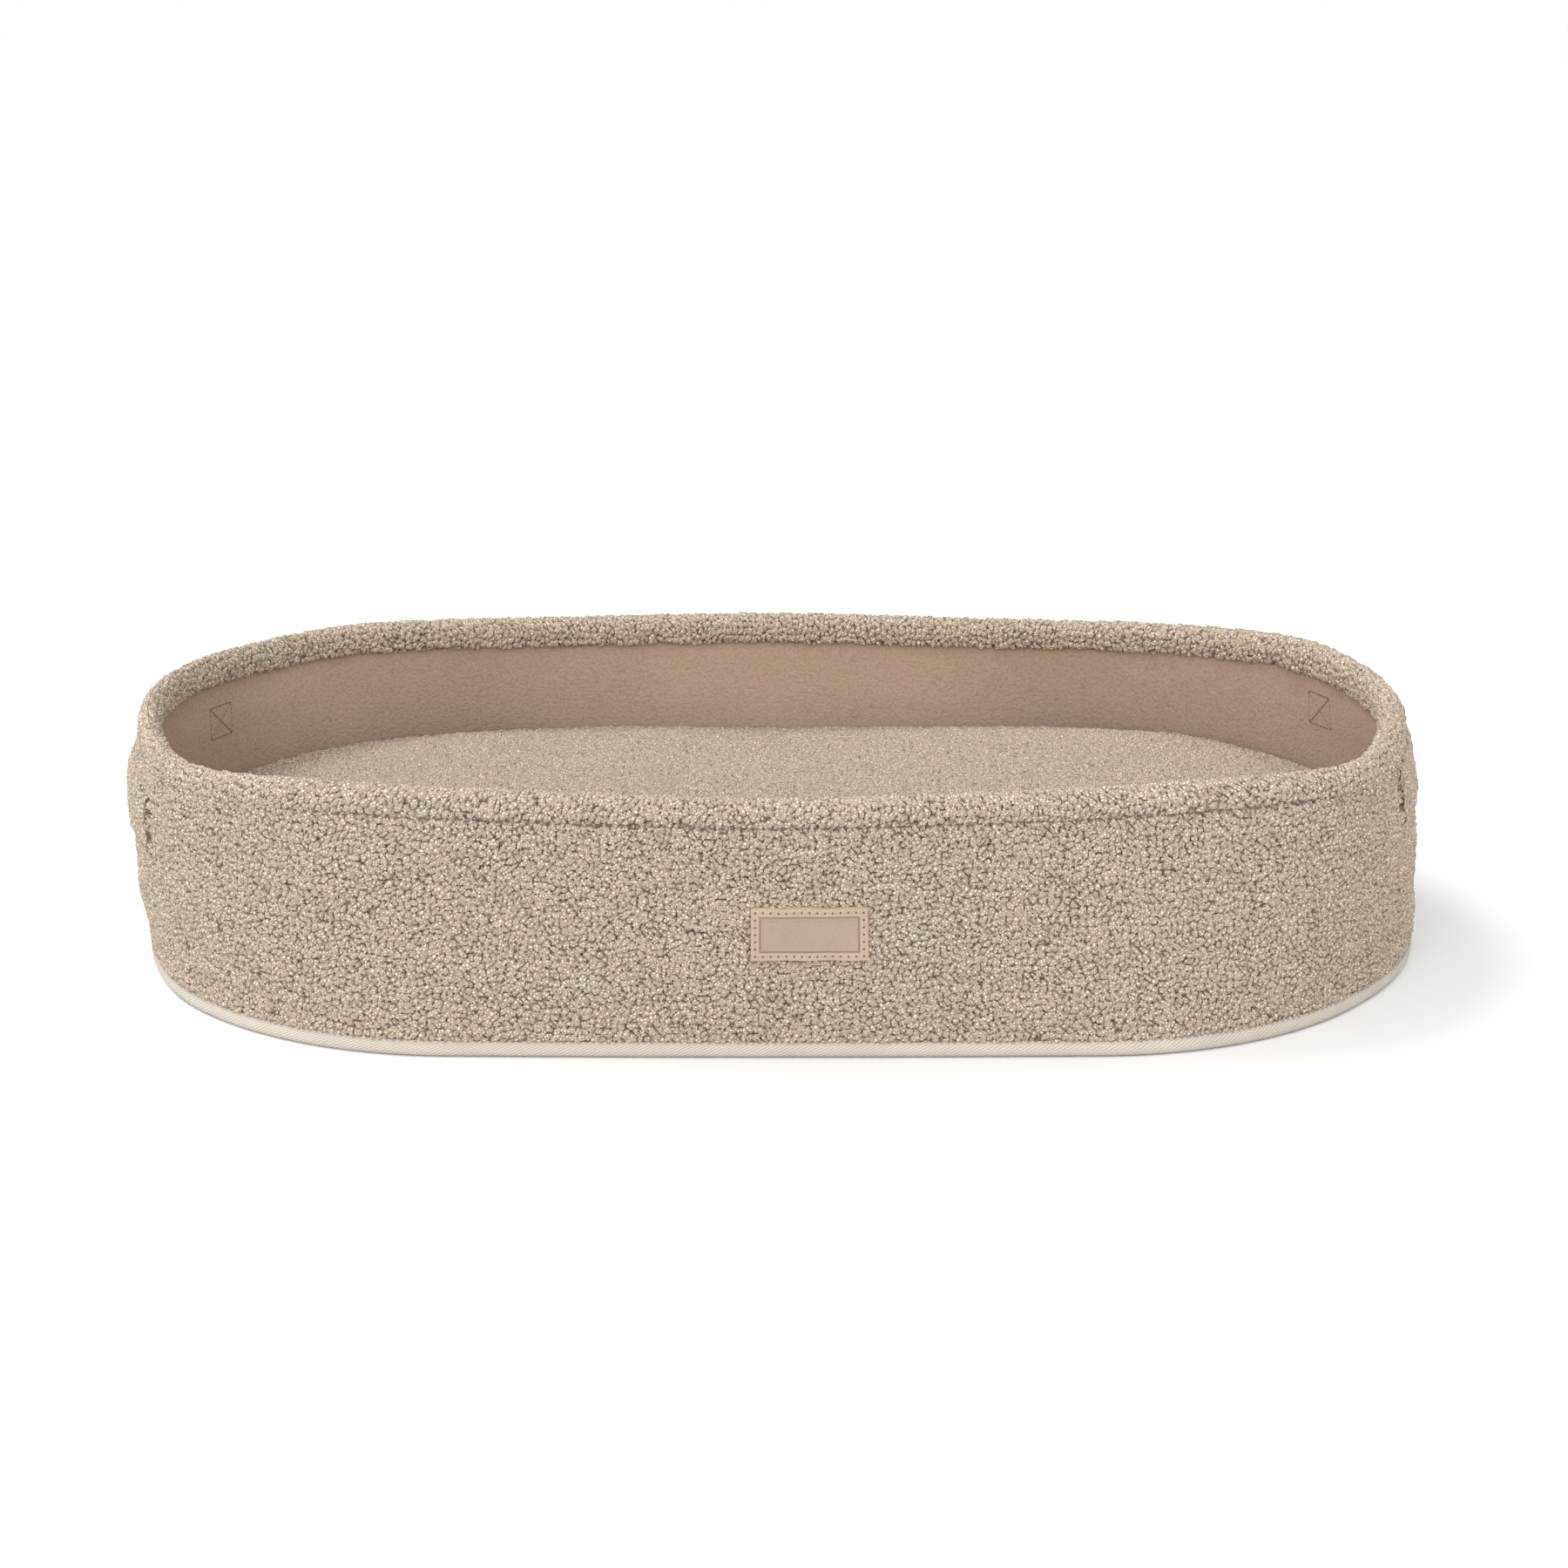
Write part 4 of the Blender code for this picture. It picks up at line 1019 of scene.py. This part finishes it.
def matTop(shift):
    # the top: columns across the mat at even steps of edge length, each from its near to its far edge, raised
    # by the pad's shift and then by the pile, whose rows follow the way over the top from the middle line
    edgeAngle = np.linspace(-math.pi, 0, 4001)
    edgeReach = matReach(edgeAngle, mat["seam"])
    edgeX, edgeY = np.cos(edgeAngle) * edgeReach, np.sin(edgeAngle) * edgeReach
    run = runAlong(edgeX, edgeY)
    marks = np.linspace(run[1], run[-2], int(run[-1] / mat["step"]))
    x = np.interp(marks, run, edgeX)[:, None]
    halfWidth = -np.interp(marks, run, edgeY)[:, None]
    count = int(2 * halfWidth.max() / mat["step"])
    across = np.linspace(-1, 1, count)[None, :]
    y = halfWidth * np.sin(across * math.pi / 2) * mat["gathered"]
    y = y + halfWidth * across * (1 - mat["gathered"])
    reach = np.hypot(x, y)
    angle = np.arctan2(y, x)
    full = matReach(angle, mat["seam"])
    inset = np.maximum(full - reach, 0)
    points = np.stack(np.broadcast_arrays(x, y, matHeight(inset, x)), -1)
    rowAt = np.mod(angle, 2 * math.pi) / (2 * math.pi) * mat["stations"]
    shares = (*padRows["topShares"][::-1], 1.0)
    columnAt = np.interp(reach / full, shares, np.arange(len(shares)))
    points = points + lookUp(shift[:, -len(shares):][:, ::-1], rowAt, columnAt)
    steps = np.hypot(*np.moveaxis(np.diff(points[..., 1:], axis=1), -1, 0))
    down = np.concatenate([0 * x, np.cumsum(steps, axis=1)], 1)
    down = down - down[:, count // 2, None]
    weight = 0.35 + 0.65 * smooth(inset, 0.0, mat["edgeFade"])
    raised, pile = pileOn(points, x + mat["span"] / 2, down, weight, mat, mat["seed"])
    top = makeGrid("matTop", raised, matBoucle, "mat", "mat_boucle", pile=pile, replaced=("mat_top",))


matSides = {
    "columns": 720, "halfRows": 12, "footGap": 0.001, "overlap": 0.0035,
    "footDraw": 0.004, "footRound": 0.010, "topDraw": 0.0012, "ruck": 0.0006, "ruckFade": (0.010, 0.020),
    "zipLow": 0.0307, "zipHigh": 0.0437, "zipHalf": 0.186, "zipMiddle": 0.037,
    "discColumns": 240, "discRows": 24, "discMiddle": 0.01, "discDraw": 0.003, "discGap": 0.0001,
    "discRim": 0.0016, "discRimFrom": 0.985,
    "tapeHalf": 0.1855, "tapeLow": 0.0245, "tapeHigh": 0.0498, "tapeBehind": 0.0028,
    "tapeColumns": 240, "tapeRows": 10,
}


def matSideBand():
    # the side band, drawn in at the foot and under the top's edge, with the zip's window left open behind
    columns, rows = matSides["columns"], 2 * matSides["halfRows"]
    angle = 2 * math.pi * roundTurns(columns)
    height = np.concatenate([
        np.linspace(mat["foot"] + matSides["footGap"], matSides["zipLow"], matSides["halfRows"]),
        np.linspace(matSides["zipHigh"], mat["seam"] + matSides["overlap"], matSides["halfRows"])])[None, :]
    footDraw = matSides["footDraw"] * (1 - smooth(height, mat["foot"], mat["foot"] + matSides["footRound"]))
    ruck = matSides["ruck"] * np.sin(70 * angle + 3 * np.sin(9 * angle))
    ruck = ruck * smooth(np.abs(height - matSides["zipMiddle"]), *matSides["ruckFade"])
    topDraw = matSides["topDraw"] * smooth(height, mat["seam"], mat["seam"] + matSides["overlap"])
    band = matReach(angle, height) - footDraw + ruck - topDraw
    points = raySpots(angle, band, height)
    faces = gridFaces(columns, rows, closeRows=True)
    middle = points.reshape(-1, 3)[faces].mean(1)
    atZip = faces[:, 0] % rows == matSides["halfRows"] - 1
    window = atZip & (middle[:, 1] > 0) & (np.abs(middle[:, 0]) < matSides["zipHalf"])
    side = makeMesh("matSideBand", points, faces[~window], liningLeather, "mat", "faux_leather",
                    replaced=("mat_side_band",))


def matUnderside():
    # a flat oval from its middle to the side band's foot, its last ring turned up a little
    angle = 2 * math.pi * roundTurns(matSides["discColumns"])
    share = np.linspace(matSides["discMiddle"], 1, matSides["discRows"])[None, :]
    reach = (matReach(angle, mat["foot"]) - matSides["discDraw"]) * share
    rise = matSides["discRim"] * smooth(share, matSides["discRimFrom"], 1.0)
    points = raySpots(angle, reach, mat["foot"] + matSides["discGap"] + rise)
    piece = makeGrid("matUnderside", points, naturalCanvas, "mat", "canvas", closeRows=True,
                     replaced=("mat_underside",))


def zipTape():
    # a flat woven strip just behind the window, on an arc about the centre of the mat's far side
    x = np.linspace(-matSides["tapeHalf"], matSides["tapeHalf"], matSides["tapeColumns"])[:, None]
    z = np.linspace(matSides["tapeLow"], matSides["tapeHigh"], matSides["tapeRows"])[None, :]
    centre = basket["rimSideRadius"] - basket["rimWidth"] / 2
    radius = basket["rimSideRadius"] - mat["openingInset"] - matSides["tapeBehind"]
    y = np.sqrt(radius ** 2 - x ** 2) - centre
    points = np.stack(np.broadcast_arrays(x, y, z), -1)[::-1]
    makeGrid("zipTape", points, zipTwill, "mat", "cream_tape", uv=points[..., ::2], replaced=("zip_tape",))


def makeMat():
    # the foam is the inflated pad a little smaller, and the sideways shift is held back by the wall
    rest = padSpots(2 * math.pi * roundTurns(mat["stations"])[:, 0])
    shift = inflatePad(rest)
    shift[..., :2] *= mat["sidewaysShare"]
    core = (rest + shift) * mat["coreShares"] + (0, 0, mat["coreRaise"])
    foam = makeGrid("matFoam", core, bodyFoam, "mat", "foam", closeRows=True, replaced=("mat_foam",))
    matTop(shift)
    matSideBand()
    matUnderside()
    zipTape()


makeMat()
print("mat made")


# Finishes on the frame's own nodes

nodeFinishes = {
    "base_board": greyBoard, "zip_teeth": zipMetal, "zip_slider": zipMetal, "zip_top_stop": zipMetal,
    "zip_bottom_stop": zipMetal,
}
for nodeName, nodeMaterial in nodeFinishes.items():
    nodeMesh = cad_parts[nodeName].data
    nodeMesh.materials.clear()
    nodeMesh.materials.append(nodeMaterial)


# Floor, light and camera

studio = {
    "floorHalf": 6.0, "floorDrop": 0.0003, "floorColour": 0.72, "floorInView": 0.98, "worldStrength": 0.56,
    "lamps": {  # strength, spread in degrees, where it shines from
        "keyLamp": (1.18, 26, (-0.50, 0.24, 0.83)), "frontLamp": (1.54, 75, (0.12, -0.74, 0.70)),
        "sideLamp": (0.74, 60, (-0.80, -0.50, 0.33)),
    },
    "cameraPlace": (0, -1.70, 0.6447), "cameraPitch": 0.3156, "lens": 69.35, "shiftX": 0.0061,
}


def makeFloor():
    # a wide square, bright where the camera sees it and plain where it throws light back
    half, depth = studio["floorHalf"], -studio["floorDrop"]
    mesh = bpy.data.meshes.new("studioFloor")
    corners = [(-half, -half, depth), (half, -half, depth), (half, half, depth), (-half, half, depth)]
    mesh.from_pydata(corners, [], [(0, 1, 2, 3)])
    plane = addObject("studioFloor", mesh)
    finish = Finish("studioFloor", {"Roughness": 0.9, "Specular IOR Level": 0.0})
    view, glossy = (
        finish.node("ShaderNodeLightPath", {}, {}, output) for output in ("Is Camera Ray", "Is Glossy Ray"))
    plain, bright = ((studio[key],) * 3 for key in ("floorColour", "floorInView"))
    finish.colour(finish.blend(view.maths("MAXIMUM", view, glossy), plain, bright))
    mesh.materials.append(finish.material)


def makeWorld():
    # white where the camera sees it, and a weaker white as light
    world = bpy.data.worlds.new("studioWorld")
    bpy.context.scene.world = world
    world.use_nodes = True
    tree = world.node_tree
    light = tree.nodes["Background"]
    white = tree.nodes.new("ShaderNodeBackground")
    for background, strength in ((light, studio["worldStrength"]), (white, 1.0)):
        background.inputs["Color"].default_value = (1, 1, 1, 1)
        background.inputs["Strength"].default_value = strength
    path = tree.nodes.new("ShaderNodeLightPath")
    mix = tree.nodes.new("ShaderNodeMixShader")
    tree.links.new(path.outputs["Is Camera Ray"], mix.inputs[0])
    tree.links.new(light.outputs[0], mix.inputs[1])
    tree.links.new(white.outputs[0], mix.inputs[2])
    tree.links.new(mix.outputs[0], tree.nodes["World Output"].inputs["Surface"])


def makeLamp(name, strength, spread, origin):
    # a far lamp, alike all over: its own +Z points back to where it shines from
    lamp = bpy.data.lights.new(name, "SUN")
    lamp.energy = strength
    lamp.angle = math.radians(spread)
    x, y, z = origin
    addObject(name, lamp).rotation_euler = (math.atan2(math.hypot(x, y), z), 0, math.atan2(x, -y))


def makeCamera():
    lens = bpy.data.cameras.new("photoCamera")
    lens.sensor_width = 36
    lens.lens = studio["lens"]
    lens.shift_x = studio["shiftX"]
    lens.clip_end = 50
    camera = addObject("photoCamera", lens)
    camera.location = studio["cameraPlace"]
    camera.rotation_euler = (math.pi / 2 - studio["cameraPitch"], 0, 0)
    bpy.context.scene.camera = camera


makeFloor()
makeWorld()
for lampName, lampSettings in studio["lamps"].items():
    makeLamp(lampName, *lampSettings)
makeCamera()
bpy.context.scene.view_settings.view_transform = "Standard"
print("studio made")
